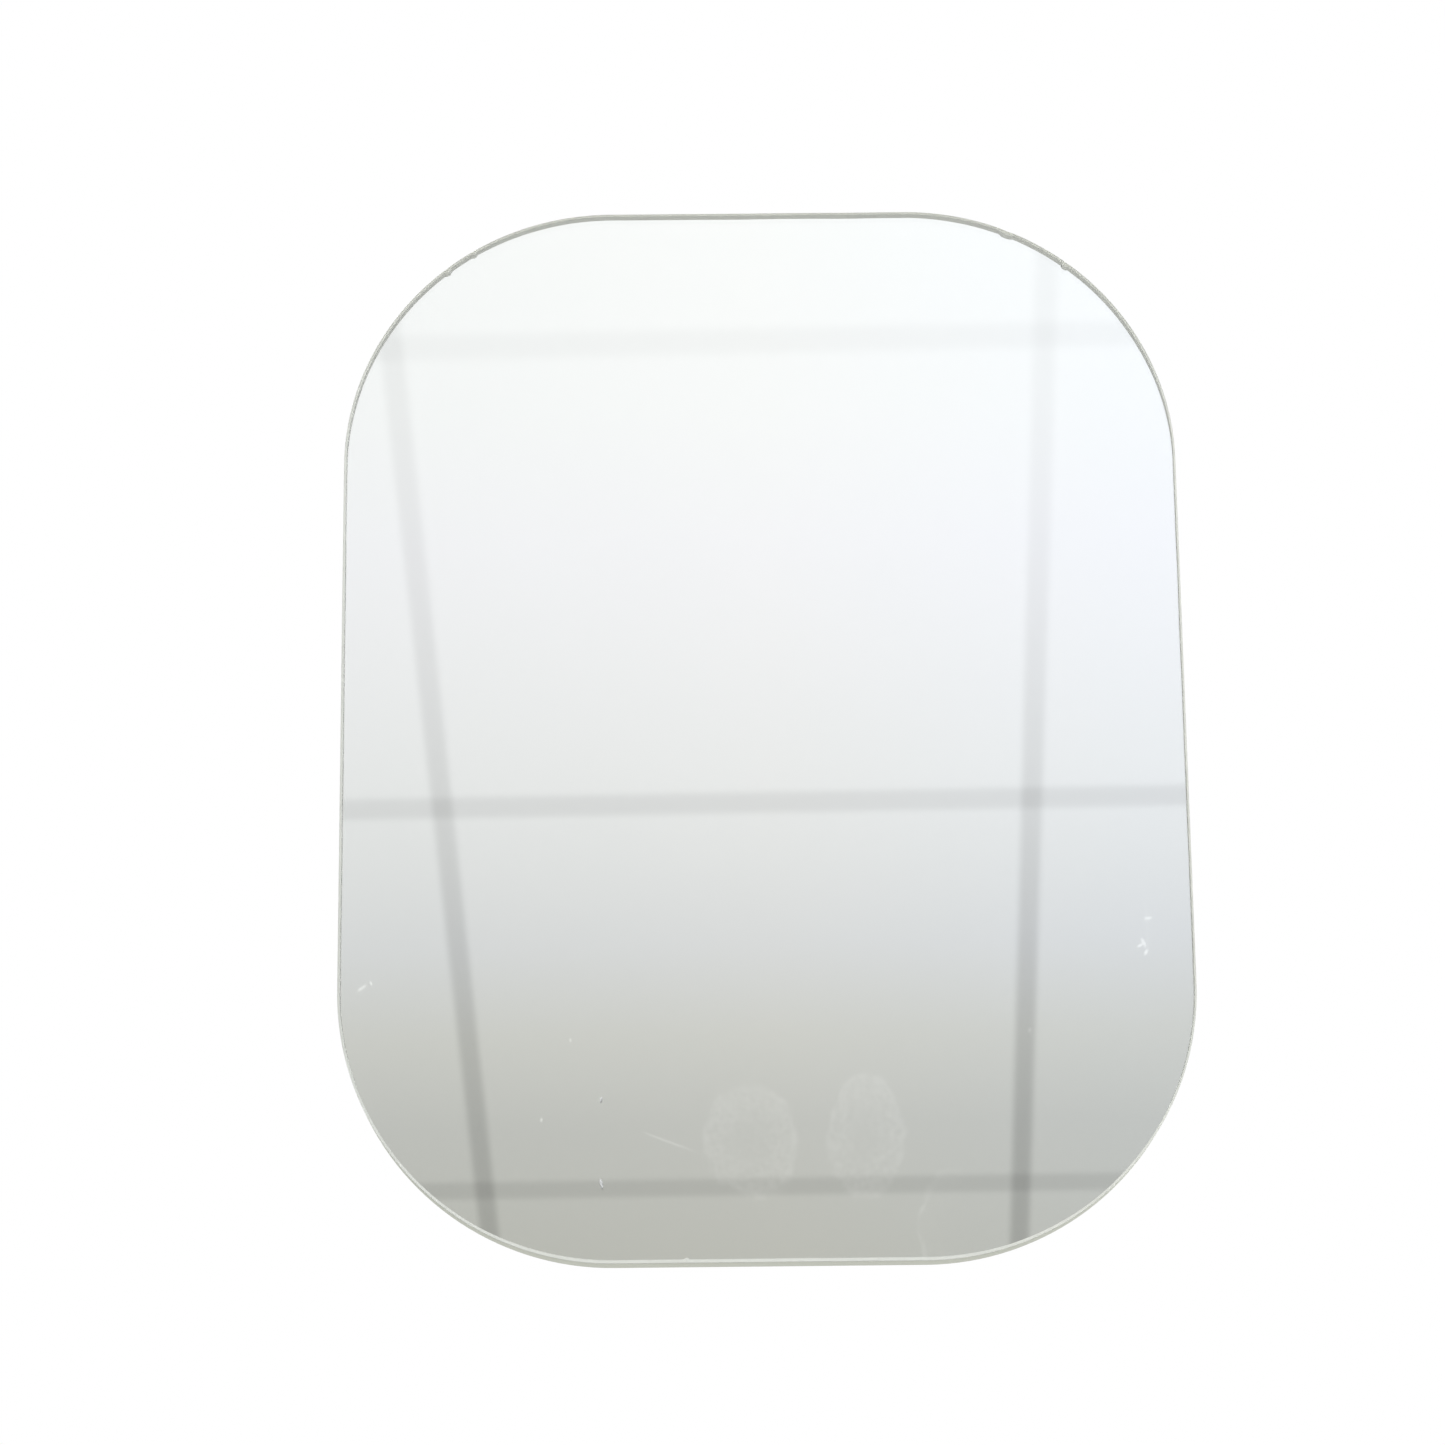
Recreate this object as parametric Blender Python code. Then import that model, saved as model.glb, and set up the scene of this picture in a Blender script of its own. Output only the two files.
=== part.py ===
"""Frameless traffic mirror on a two-way wall bracket.

Frame: metres, +Z up.  The origin is the middle of the wall plate's back face, the wall is the plane
Y = 0, and the mirror looks along -Y.  The arm pans about a vertical bolt at the wall plate, and the
mirror head tilts about a level bolt at the arm's far end.
"""
import math

import bmesh
import bpy
from mathutils import Matrix

# ---------------------------------------------------------------- driving dimensions (metres)
FIT_GAP = 0.0003            # between two pieces that rest on each other
BORE_CLEARANCE = 0.0003     # radial room of a bolt or screw in its hole

PANE_WIDTH = 0.200
PANE_HEIGHT = 0.2566
PANE_CORNER = 0.064
PANE_THICKNESS = 0.0020
ARRIS = 0.0006              # ground chamfer round both faces of the pane

COATING_THICKNESS = 0.0001
COATING_GAP = 0.0001        # the coat lies against the pane and the rim, so its gaps are small
TAPE_THICKNESS = 0.0010
TAPE_WIDTH = 0.024
TAPE_LENGTH = 0.150
SEAL_WIDTH = 0.0040
SEAL_THICKNESS = 0.0020

SHELL_WALL = 0.0022
SHELL_FLOOR = 0.0025
SHELL_INSET = 0.0           # the shell's outline lies this far inside the pane's
SHELL_ROUND = 0.0020        # radius from side wall to back
SHELL_SLOPE = 0.044         # width of the sloping border of the back
SHELL_DOME = 0.0027         # how far the flat back stands behind that border
LAND_MARGIN = 0.0020        # moulded land past the edge of its tape
LAND_SKIN = 0.0020
POCKETS_PER_LAND = 5
WEEP_RADIUS = 0.0020
WEEP_SPACING = 0.050
WEEP_HEIGHT = 0.016         # above the pane's lower edge

INNER_DEPTH = 0.0090        # from the shell's inner floor to the back of the pane

REINFORCEMENT_EDGE = 0.013  # screw to the edge of the reinforcing plate
REINFORCEMENT_THICKNESS = 0.0015
REINFORCEMENT_CORNER = 0.006

STEEL = 0.0030              # bracket and wall plate sheet
BRACKET_EDGE = 0.009        # screw to the edge of the bracket base
BRACKET_CORNER = 0.008
EAR_REACH = 0.030           # tilt axis to the bracket base
EAR_RADIUS = 0.0125

SCREW_SPACING_X = 0.052
SCREW_SPACING_Z = 0.038
SCREW_RADIUS = 0.0025
SCREW_HEAD_RADIUS = 0.0046
SCREW_HEAD_HEIGHT = 0.0030
SCREW_SOCKET_FLATS = 0.0030
SCREW_SOCKET_DEPTH = 0.0018
SCREW_END = 0.0006          # screw past its nut
SCREW_DOME = 0.0016         # how far the head's flat top lies inside its rim
SMALL_WASHER_RADIUS = 0.0050
SMALL_WASHER_THICKNESS = 0.0010
SMALL_NUT_FLATS = 0.0080
SMALL_NUT_HEIGHT = 0.0040

BOLT_RADIUS = 0.0040
BOLT_HEAD_FLATS = 0.0130
BOLT_HEAD_HEIGHT = 0.0053
BOLT_BEVEL = 0.0007
FRICTION_WASHER_RADIUS = 0.0110
FRICTION_WASHER_THICKNESS = 0.0015
FLAT_WASHER_RADIUS = 0.0080
FLAT_WASHER_THICKNESS = 0.0016
SPRING_WASHER_RADIUS = 0.0070
SPRING_WASHER_THICKNESS = 0.0016
SPRING_WASHER_RISE = 0.0006
SPRING_WASHER_OPENING = math.radians(9)
CLAMP_NUT_FLATS = 0.0130
CLAMP_NUT_HEIGHT = 0.0065

KNOB_RADIUS = 0.0180
KNOB_LOBES = 5
KNOB_LOBE_DEPTH = 0.0026
KNOB_HUB_RADIUS = 0.0105
KNOB_HUB_HEIGHT = 0.0050
KNOB_HEIGHT = 0.0190
KNOB_EDGE = 0.0022
KNOB_TOP_INSET = 0.0044
KNOB_TOP_LOBE_DEPTH = 0.0018
KNOB_CAP_RADIUS = 0.0063
KNOB_CAP_RISE = 0.0004
BOLT_IN_KNOB = 0.0120

ARM_LENGTH = 0.090          # pan axis to tilt axis
ARM_BAR_WIDTH = 0.0130
ARM_BAR_HEIGHT = 0.0140
ARM_BAR_CORNER = 0.0026
EYE_RADIUS = 0.0110
EYE_LENGTH = 0.0180
EYE_CHAMFER = 0.0008

PLATE_EDGE = 0.014          # fixing slot to the edge of the wall plate
PLATE_CORNER = 0.012
PAN_STANDOFF = 0.036        # wall to pan axis
PLATE_SLOT_SPACING_X = 0.056
PLATE_SLOT_SPACING_Z = 0.092
PLATE_SLOT_WIDTH = 0.0065
PLATE_SLOT_LENGTH = 0.0130
STRAP_SLOT_EDGE = 0.009     # strap slot to the side edge of the wall plate
STRAP_SLOT_WIDTH = 0.0052
STRAP_SLOT_LENGTH = 0.0240
SLOT_END_SHARE = 0.49       # end radius of a slot as a share of its width

CORNER_STEPS = 12           # segments in a quarter of a large corner
SMALL_CORNER_STEPS = 4
ROUND_STEPS = 24            # segments round a turned piece
TINY_CORNER_STEPS = 2
HEXAGON_STEPS = 24          # points round a hexagon that is bridged to a round bore
STAR_STEPS = 40
SPRING_STEPS = 20
SMOOTH_ANGLE = math.radians(35)
AXIS_SIZE = 0.02            # drawn size of a joint's empty
CUT_SPILL = 0.003           # how far a cutter stands out of what it cuts

# ---------------------------------------------------------------- places that follow from them
TILT_Y = -(PAN_STANDOFF + ARM_LENGTH)

# Distances in front of the tilt axis, from the bracket outwards to the mirror's face.
BASE_BACK = EAR_REACH
BASE_FRONT = BASE_BACK + STEEL
SHELL_BACK = BASE_FRONT + FIT_GAP
SHELL_FLOOR_FRONT = SHELL_BACK + SHELL_FLOOR
REINFORCEMENT_BACK = SHELL_FLOOR_FRONT + FIT_GAP
REINFORCEMENT_FRONT = REINFORCEMENT_BACK + REINFORCEMENT_THICKNESS
NUT_BACK = REINFORCEMENT_FRONT + FIT_GAP
NUT_FRONT = NUT_BACK + SMALL_NUT_HEIGHT
PANE_BACK = SHELL_FLOOR_FRONT + INNER_DEPTH
PANE_FRONT = PANE_BACK + PANE_THICKNESS
COATING_FRONT = PANE_BACK - COATING_GAP
COATING_BACK = COATING_FRONT - COATING_THICKNESS
TAPE_FRONT = COATING_BACK - FIT_GAP
TAPE_BACK = TAPE_FRONT - TAPE_THICKNESS
LAND_FRONT = TAPE_BACK - FIT_GAP
SEAL_BACK = TAPE_FRONT - SEAL_THICKNESS
LEDGE_FRONT = SEAL_BACK - FIT_GAP
RIM_FRONT = COATING_BACK - COATING_GAP
BORDER_BACK = SHELL_BACK + SHELL_DOME
ROUND_FRONT = BORDER_BACK + SHELL_ROUND

# Distances from the middle of a clamped eye, along its bolt.
FRICTION_WASHER_START = EYE_LENGTH / 2 + FIT_GAP
EAR_INNER = FRICTION_WASHER_START + FRICTION_WASHER_THICKNESS + FIT_GAP
EAR_OUTER = EAR_INNER + STEEL
BOLT_HEAD_START = EAR_OUTER + FIT_GAP
FLAT_WASHER_START = EAR_OUTER + FIT_GAP
SPRING_WASHER_START = FLAT_WASHER_START + FLAT_WASHER_THICKNESS + FIT_GAP
KNOB_START = SPRING_WASHER_START + SPRING_WASHER_THICKNESS + SPRING_WASHER_RISE + FIT_GAP

REINFORCEMENT_WIDTH = SCREW_SPACING_X + 2 * REINFORCEMENT_EDGE
REINFORCEMENT_HEIGHT = SCREW_SPACING_Z + 2 * REINFORCEMENT_EDGE
BRACKET_WIDTH = SCREW_SPACING_X + 2 * BRACKET_EDGE
BRACKET_HEIGHT = SCREW_SPACING_Z + 2 * BRACKET_EDGE
PLATE_WIDTH = PLATE_SLOT_SPACING_X + 2 * PLATE_EDGE
PLATE_HEIGHT = PLATE_SLOT_SPACING_Z + 2 * PLATE_EDGE
STRAP_SLOT_OFFSET = PLATE_WIDTH / 2 - STRAP_SLOT_EDGE

# Insets from the pane's outline: the shell's inner wall, then the ledge that carries the seal.
INNER_WALL = SHELL_INSET + SHELL_WALL
LEDGE_END = INNER_WALL + SEAL_WIDTH + 2 * FIT_GAP
# Each tape runs midway between the reinforcing plate and the ledge.
TAPE_OFFSET = (REINFORCEMENT_WIDTH / 2 + PANE_WIDTH / 2 - LEDGE_END) / 2

BOLT_HOLE_RADIUS = BOLT_RADIUS + BORE_CLEARANCE
SCREW_HOLE_RADIUS = SCREW_RADIUS + BORE_CLEARANCE

LOOK_FORWARD = Matrix.Rotation(math.radians(90), 4, "X")     # local +Z points along -Y
AXIS_LEVEL = Matrix.Rotation(math.radians(90), 4, "Y")       # local +Z points along +X


# ---------------------------------------------------------------- materials
def material(name, colour, roughness, metallic=0.0):
    made = bpy.data.materials.new(name)
    made.use_nodes = True
    shader = made.node_tree.nodes["Principled BSDF"]
    shader.inputs["Base Color"].default_value = (*colour, 1.0)
    shader.inputs["Roughness"].default_value = roughness
    shader.inputs["Metallic"].default_value = metallic
    made.diffuse_color = (*colour, 1.0)
    return made


# ---------------------------------------------------------------- outlines
def rounded_rectangle(width, height, radius, steps):
    """Points of a rounded rectangle, anticlockwise, middle at the origin."""
    points = []
    for quarter, (side_x, side_y) in enumerate(((1, 1), (-1, 1), (-1, -1), (1, -1))):
        for step in range(steps + 1):
            angle = math.radians(90) * (quarter + step / steps)
            points.append((side_x * (width / 2 - radius) + radius * math.cos(angle),
                           side_y * (height / 2 - radius) + radius * math.sin(angle)))
    return points


def circle(radius, steps=ROUND_STEPS):
    turn = 2 * math.pi / steps
    return [(radius * math.cos(turn * i), radius * math.sin(turn * i)) for i in range(steps)]


def hexagon(flats):
    corner = flats / math.sqrt(3)
    return [(corner * math.cos(math.radians(60 * i)), corner * math.sin(math.radians(60 * i)))
            for i in range(6)]


def star(radius, depth, lobes, steps=STAR_STEPS):
    points = []
    for i in range(steps):
        angle = 2 * math.pi * i / steps
        reach = radius - depth * (0.5 - 0.5 * math.cos(lobes * angle))
        points.append((reach * math.cos(angle), reach * math.sin(angle)))
    return points


# ---------------------------------------------------------------- meshes
def add_ring(shape, outline, height):
    return [shape.verts.new((x, y, height)) for x, y in outline]


def bridge(shape, low, high):
    count = len(low)
    for i in range(count):
        j = (i + 1) % count
        shape.faces.new((low[i], low[j], high[j], high[i]))


def finished_mesh(name, shape):
    bmesh.ops.recalc_face_normals(shape, faces=shape.faces)
    mesh = bpy.data.meshes.new(name)
    shape.to_mesh(mesh)
    shape.free()
    mesh.shade_smooth()
    mesh.set_sharp_from_angle(angle=SMOOTH_ANGLE)
    return mesh


def stacked(name, sections):
    """A solid through (outline, height) sections, closed at both ends."""
    shape = bmesh.new()
    rings = [add_ring(shape, outline, height) for outline, height in sections]
    for low, high in zip(rings, rings[1:]):
        bridge(shape, low, high)
    shape.faces.new(rings[0])
    shape.faces.new(rings[-1])
    return finished_mesh(name, shape)


def looped(name, sections):
    """A ring or a tray: (outline, height) sections joined end to end into a closed skin."""
    shape = bmesh.new()
    rings = [add_ring(shape, outline, height) for outline, height in sections]
    for low, high in zip(rings, rings[1:] + rings[:1]):
        bridge(shape, low, high)
    return finished_mesh(name, shape)


def prism(name, outline, start, end):
    return stacked(name, [(outline, start), (outline, end)])


def tube(name, outer, inner, start, end):
    """A washer or a nut: both outlines have the same number of points."""
    return looped(name, [(outer, start), (outer, end), (inner, end), (inner, start)])


def spring_ring(name, outer, inner, thickness, rise):
    """A split washer: one turn of square wire that climbs by its rise."""
    shape = bmesh.new()
    sections = []
    for i in range(SPRING_STEPS + 1):
        angle = SPRING_WASHER_OPENING / 2 + (2 * math.pi - SPRING_WASHER_OPENING) * i / SPRING_STEPS
        low = rise * i / SPRING_STEPS
        corners = ((inner, low), (outer, low), (outer, low + thickness), (inner, low + thickness))
        sections.append([shape.verts.new((r * math.cos(angle), r * math.sin(angle), z))
                         for r, z in corners])
    for first, second in zip(sections, sections[1:]):
        bridge(shape, first, second)
    shape.faces.new(sections[0])
    shape.faces.new(sections[-1])
    return finished_mesh(name, shape)


# ---------------------------------------------------------------- objects
def add_axis(name, parent, place):
    """An empty whose local +Z is a joint axis."""
    axis = bpy.data.objects.new(name, None)
    bpy.context.scene.collection.objects.link(axis)
    axis.empty_display_size = AXIS_SIZE
    axis.parent = parent
    axis.matrix_basis = place
    return axis


def add_piece(name, mesh, finish, parent, place=Matrix.Identity(4)):
    piece = bpy.data.objects.new(name, mesh)
    bpy.context.scene.collection.objects.link(piece)
    if not mesh.materials:
        mesh.materials.append(finish)
    piece.parent = parent
    piece.matrix_basis = place
    return piece


def shape_with(piece, mesh, operation, place=Matrix.Identity(4)):
    """Join a second shape to a piece, or cut it out; the second shape is only a guide."""
    guide = bpy.data.objects.new(mesh.name, mesh)
    bpy.context.scene.collection.objects.link(guide)
    guide.parent = piece.parent
    guide.matrix_basis = piece.matrix_basis @ place
    guide.hide_render = True
    guide.display_type = "WIRE"
    change = piece.modifiers.new(mesh.name, "BOOLEAN")
    change.operation = operation
    change.solver = "EXACT"
    change.object = guide


def join_to(piece, mesh, place=Matrix.Identity(4)):
    shape_with(piece, mesh, "UNION", place)


def cut_from(piece, mesh, place=Matrix.Identity(4)):
    shape_with(piece, mesh, "DIFFERENCE", place)


# ---------------------------------------------------------------- mirror head
def pane_outline(inset):
    """The pane's outline, moved inwards; the corner shrinks with it."""
    return rounded_rectangle(PANE_WIDTH - 2 * inset, PANE_HEIGHT - 2 * inset,
                             PANE_CORNER - inset, CORNER_STEPS)


def screw_places():
    """Where the four bracket screws pass, seen along the mirror's normal."""
    for side_x in (-1, 1):
        for side_z in (-1, 1):
            yield side_x * SCREW_SPACING_X / 2, side_z * SCREW_SPACING_Z / 2


def build_pane(head, looks):
    glass = stacked("mirror_glass", [
        (pane_outline(ARRIS), PANE_BACK),
        (pane_outline(0), PANE_BACK + ARRIS),
        (pane_outline(0), PANE_FRONT - ARRIS),
        (pane_outline(ARRIS), PANE_FRONT)])
    add_piece("mirror_glass", glass, looks["glass"], head)
    coating = prism("silver_backing", pane_outline(ARRIS), COATING_BACK, COATING_FRONT)
    add_piece("silver_backing", coating, looks["silver"], head)


def build_shell(head, looks):
    outer_round = []
    for step in range(SMALL_CORNER_STEPS + 1):
        angle = math.radians(90) * step / SMALL_CORNER_STEPS
        outer_round.append((pane_outline(SHELL_INSET + SHELL_ROUND * (1 - math.cos(angle))),
                            ROUND_FRONT - SHELL_ROUND * math.sin(angle)))
    slope_end = SHELL_INSET + SHELL_SLOPE
    back = [(pane_outline(slope_end), SHELL_BACK)]
    inside = [(pane_outline(slope_end), SHELL_FLOOR_FRONT),
              (pane_outline(LEDGE_END), BORDER_BACK + SHELL_FLOOR),
              (pane_outline(LEDGE_END), LEDGE_FRONT),
              (pane_outline(INNER_WALL), LEDGE_FRONT),
              (pane_outline(INNER_WALL), RIM_FRONT)]
    front = [(pane_outline(SHELL_INSET), RIM_FRONT)]

    shape = bmesh.new()
    sections = front + outer_round + back
    outer_rings = [add_ring(shape, outline, height) for outline, height in sections]
    inner_rings = [add_ring(shape, outline, height) for outline, height in inside]
    for low, high in zip(outer_rings, outer_rings[1:]):
        bridge(shape, low, high)
    for low, high in zip(inner_rings, inner_rings[1:]):
        bridge(shape, low, high)
    bridge(shape, inner_rings[-1], outer_rings[0])
    shape.faces.new(outer_rings[-1])
    shape.faces.new(inner_rings[0])
    shell = add_piece("rear_shell", finished_mesh("rear_shell", shape), looks["shell"], head)

    land_width = TAPE_WIDTH + 2 * LAND_MARGIN
    land_length = TAPE_LENGTH + 2 * LAND_MARGIN
    land = rounded_rectangle(land_width, land_length, LAND_MARGIN, SMALL_CORNER_STEPS)
    pocket_length = (land_length - LAND_SKIN * (POCKETS_PER_LAND + 1)) / POCKETS_PER_LAND
    pocket = rounded_rectangle(land_width - 2 * LAND_SKIN, pocket_length, LAND_MARGIN,
                               TINY_CORNER_STEPS)
    for side, label in ((-1, "left"), (1, "right")):
        middle = Matrix.Translation((side * TAPE_OFFSET, 0, 0))
        join_to(shell, prism(f"land_{label}", land, SHELL_FLOOR_FRONT - SHELL_FLOOR / 2, LAND_FRONT),
                middle)
        for number in range(POCKETS_PER_LAND):
            along = (number - (POCKETS_PER_LAND - 1) / 2) * (pocket_length + LAND_SKIN)
            cut_from(shell, prism(f"pocket_{label}_{number}", pocket, SHELL_BACK - CUT_SPILL,
                                  LAND_FRONT - LAND_SKIN),
                     middle @ Matrix.Translation((0, along, 0)))
    for number, (x, z) in enumerate(screw_places(), start=1):
        cut_from(shell, prism(f"shell_hole_{number}", circle(SCREW_HOLE_RADIUS), BASE_FRONT,
                              REINFORCEMENT_BACK), Matrix.Translation((x, z, 0)))
    for side, label in ((-1, "left"), (1, "right")):
        cut_from(shell, prism(f"weep_hole_{label}", circle(WEEP_RADIUS), SHELL_BACK - CUT_SPILL,
                              REINFORCEMENT_FRONT + SHELL_DOME),
                 Matrix.Translation((side * WEEP_SPACING / 2, WEEP_HEIGHT - PANE_HEIGHT / 2, 0)))


def build_mirror_bond(head, looks):
    strip = rounded_rectangle(TAPE_WIDTH, TAPE_LENGTH, LAND_MARGIN, SMALL_CORNER_STEPS)
    tape = prism("tape_strip", strip, TAPE_BACK, TAPE_FRONT)
    for side, label in ((-1, "left"), (1, "right")):
        add_piece(f"tape_strip_{label}", tape, looks["foam"], head,
                  Matrix.Translation((side * TAPE_OFFSET, 0, 0)))
    seal_edge = INNER_WALL + FIT_GAP
    seal = tube("edge_seal", pane_outline(seal_edge), pane_outline(seal_edge + SEAL_WIDTH),
                SEAL_BACK, TAPE_FRONT)
    add_piece("edge_seal", seal, looks["foam"], head)


def build_reinforcement(head, looks):
    outline = rounded_rectangle(REINFORCEMENT_WIDTH, REINFORCEMENT_HEIGHT, REINFORCEMENT_CORNER,
                                SMALL_CORNER_STEPS)
    plate = add_piece("reinforcing_plate",
                      prism("reinforcing_plate", outline, REINFORCEMENT_BACK, REINFORCEMENT_FRONT),
                      looks["zinc"], head)
    for number, (x, z) in enumerate(screw_places(), start=1):
        cut_from(plate, prism(f"reinforcement_hole_{number}", circle(SCREW_HOLE_RADIUS),
                              REINFORCEMENT_BACK - CUT_SPILL, REINFORCEMENT_FRONT + CUT_SPILL),
                 Matrix.Translation((x, z, 0)))


def build_bracket(head, looks):
    outline = rounded_rectangle(BRACKET_WIDTH, BRACKET_HEIGHT, BRACKET_CORNER, SMALL_CORNER_STEPS)
    bracket = add_piece("tilt_bracket", prism("tilt_bracket", outline, BASE_BACK, BASE_FRONT),
                        looks["steel"], head)
    for side, label in ((-1, "left"), (1, "right")):
        join_to(bracket, ear_mesh(f"bracket_ear_{label}", BASE_BACK + STEEL / 2),
                Matrix.Translation((side * (EAR_INNER + STEEL / 2), 0, 0)) @ AXIS_LEVEL)
    cut_from(bracket, prism("bracket_bore", circle(BOLT_HOLE_RADIUS), -2 * EAR_OUTER, 2 * EAR_OUTER),
             AXIS_LEVEL)
    for number, (x, z) in enumerate(screw_places(), start=1):
        cut_from(bracket, prism(f"bracket_hole_{number}", circle(SCREW_HOLE_RADIUS),
                                BASE_BACK - CUT_SPILL, BASE_FRONT + CUT_SPILL),
                 Matrix.Translation((x, z, 0)))


def ear_mesh(name, reach):
    """An ear as thick as the sheet: round about the bolt, straight to its plate.

    Local Z is the bolt's axis, with the ear centred on it, and the plate lies towards local -X.
    """
    outline = [(-reach, -EAR_RADIUS), (0, -EAR_RADIUS)]
    half_round = 2 * SMALL_CORNER_STEPS
    for step in range(1, half_round):
        angle = math.radians(180) * step / half_round - math.radians(90)
        outline.append((EAR_RADIUS * math.cos(angle), EAR_RADIUS * math.sin(angle)))
    outline += [(0, EAR_RADIUS), (-reach, EAR_RADIUS)]
    return prism(name, outline, -STEEL / 2, STEEL / 2)


def build_bracket_fasteners(head, looks):
    """Screw heads and washers lie behind the bracket base, the nuts inside the shell."""
    washer_front = BASE_BACK - FIT_GAP
    washer_back = washer_front - SMALL_WASHER_THICKNESS
    head_front = washer_back - FIT_GAP
    head_back = head_front - SCREW_HEAD_HEIGHT
    bore = circle(SCREW_HOLE_RADIUS)
    washer = tube("bracket_washer", circle(SMALL_WASHER_RADIUS), bore, washer_back, washer_front)
    nut = tube("bracket_nut", fine_hexagon(SMALL_NUT_FLATS, HEXAGON_STEPS),
               circle(SCREW_HOLE_RADIUS, HEXAGON_STEPS), NUT_BACK, NUT_FRONT)
    screw = stacked("bracket_screw", [
        (circle(SCREW_HEAD_RADIUS - SCREW_DOME), head_back),
        (circle(SCREW_HEAD_RADIUS - SCREW_DOME / 3), head_back + SCREW_HEAD_HEIGHT / 3),
        (circle(SCREW_HEAD_RADIUS), head_back + SCREW_HEAD_HEIGHT * 2 / 3),
        (circle(SCREW_HEAD_RADIUS), head_front),
        (circle(SCREW_RADIUS), head_front),
        (circle(SCREW_RADIUS), NUT_FRONT),
        (circle(SCREW_RADIUS - SCREW_END / 2), NUT_FRONT + SCREW_END)])
    for number, (x, z) in enumerate(screw_places(), start=1):
        place = Matrix.Translation((x, z, 0))
        add_piece(f"bracket_washer_{number}", washer, looks["zinc"], head, place)
        add_piece(f"bracket_nut_{number}", nut, looks["zinc"], head, place)
        fastener = add_piece(f"bracket_screw_{number}", screw, looks["stainless"], head, place)
        cut_from(fastener, prism(f"screw_socket_{number}", hexagon(SCREW_SOCKET_FLATS),
                                 head_back - SCREW_HEAD_HEIGHT, head_back + SCREW_SOCKET_DEPTH))


def fine_hexagon(flats, steps):
    """A hexagon with as many points as a round outline, so that the two can be bridged."""
    points = []
    for i in range(steps):
        angle = 2 * math.pi * i / steps
        from_flat = (angle - math.radians(30)) % math.radians(60)
        from_flat = min(from_flat, math.radians(60) - from_flat)
        reach = flats / 2 / math.cos(from_flat)
        points.append((reach * math.cos(angle), reach * math.sin(angle)))
    return points


# ---------------------------------------------------------------- clamped joints
def build_clamp(label, axis, knob_axis, looks):
    """The pieces on one pivot bolt; the axis empty's +Z runs from the bolt's head to its knob."""
    bore = circle(BOLT_HOLE_RADIUS)
    friction = tube(f"{label}_friction_washer", circle(FRICTION_WASHER_RADIUS), bore, 0,
                    FRICTION_WASHER_THICKNESS)
    for name, start in (("a", -FRICTION_WASHER_START - FRICTION_WASHER_THICKNESS),
                        ("b", FRICTION_WASHER_START)):
        add_piece(f"{label}_friction_washer_{name}", friction, looks["nylon"], axis,
                  Matrix.Translation((0, 0, start)))
    flat = tube(f"{label}_flat_washer", circle(FLAT_WASHER_RADIUS), bore, 0, FLAT_WASHER_THICKNESS)
    add_piece(f"{label}_flat_washer", flat, looks["zinc"], axis,
              Matrix.Translation((0, 0, FLAT_WASHER_START)))
    spring = spring_ring(f"{label}_spring_washer", SPRING_WASHER_RADIUS, BOLT_HOLE_RADIUS,
                         SPRING_WASHER_THICKNESS, SPRING_WASHER_RISE)
    add_piece(f"{label}_spring_washer", spring, looks["zinc"], axis,
              Matrix.Translation((0, 0, SPRING_WASHER_START)))
    build_bolt(label, axis, looks)
    build_knob(label, knob_axis, looks)


def build_bolt(label, axis, looks):
    shank = circle(BOLT_RADIUS, HEXAGON_STEPS)
    head = fine_hexagon(BOLT_HEAD_FLATS, HEXAGON_STEPS)
    tip = KNOB_START + BOLT_IN_KNOB
    bolt = stacked(f"{label}_bolt", [
        (circle(BOLT_HEAD_FLATS / 2 - BOLT_BEVEL, HEXAGON_STEPS), -BOLT_HEAD_START - BOLT_HEAD_HEIGHT),
        (head, -BOLT_HEAD_START - BOLT_HEAD_HEIGHT + BOLT_BEVEL),
        (head, -BOLT_HEAD_START),
        (shank, -BOLT_HEAD_START),
        (shank, tip - BOLT_BEVEL),
        (circle(BOLT_RADIUS - BOLT_BEVEL, HEXAGON_STEPS), tip)])
    add_piece(f"{label}_bolt", bolt, looks["zinc"], axis)


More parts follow.
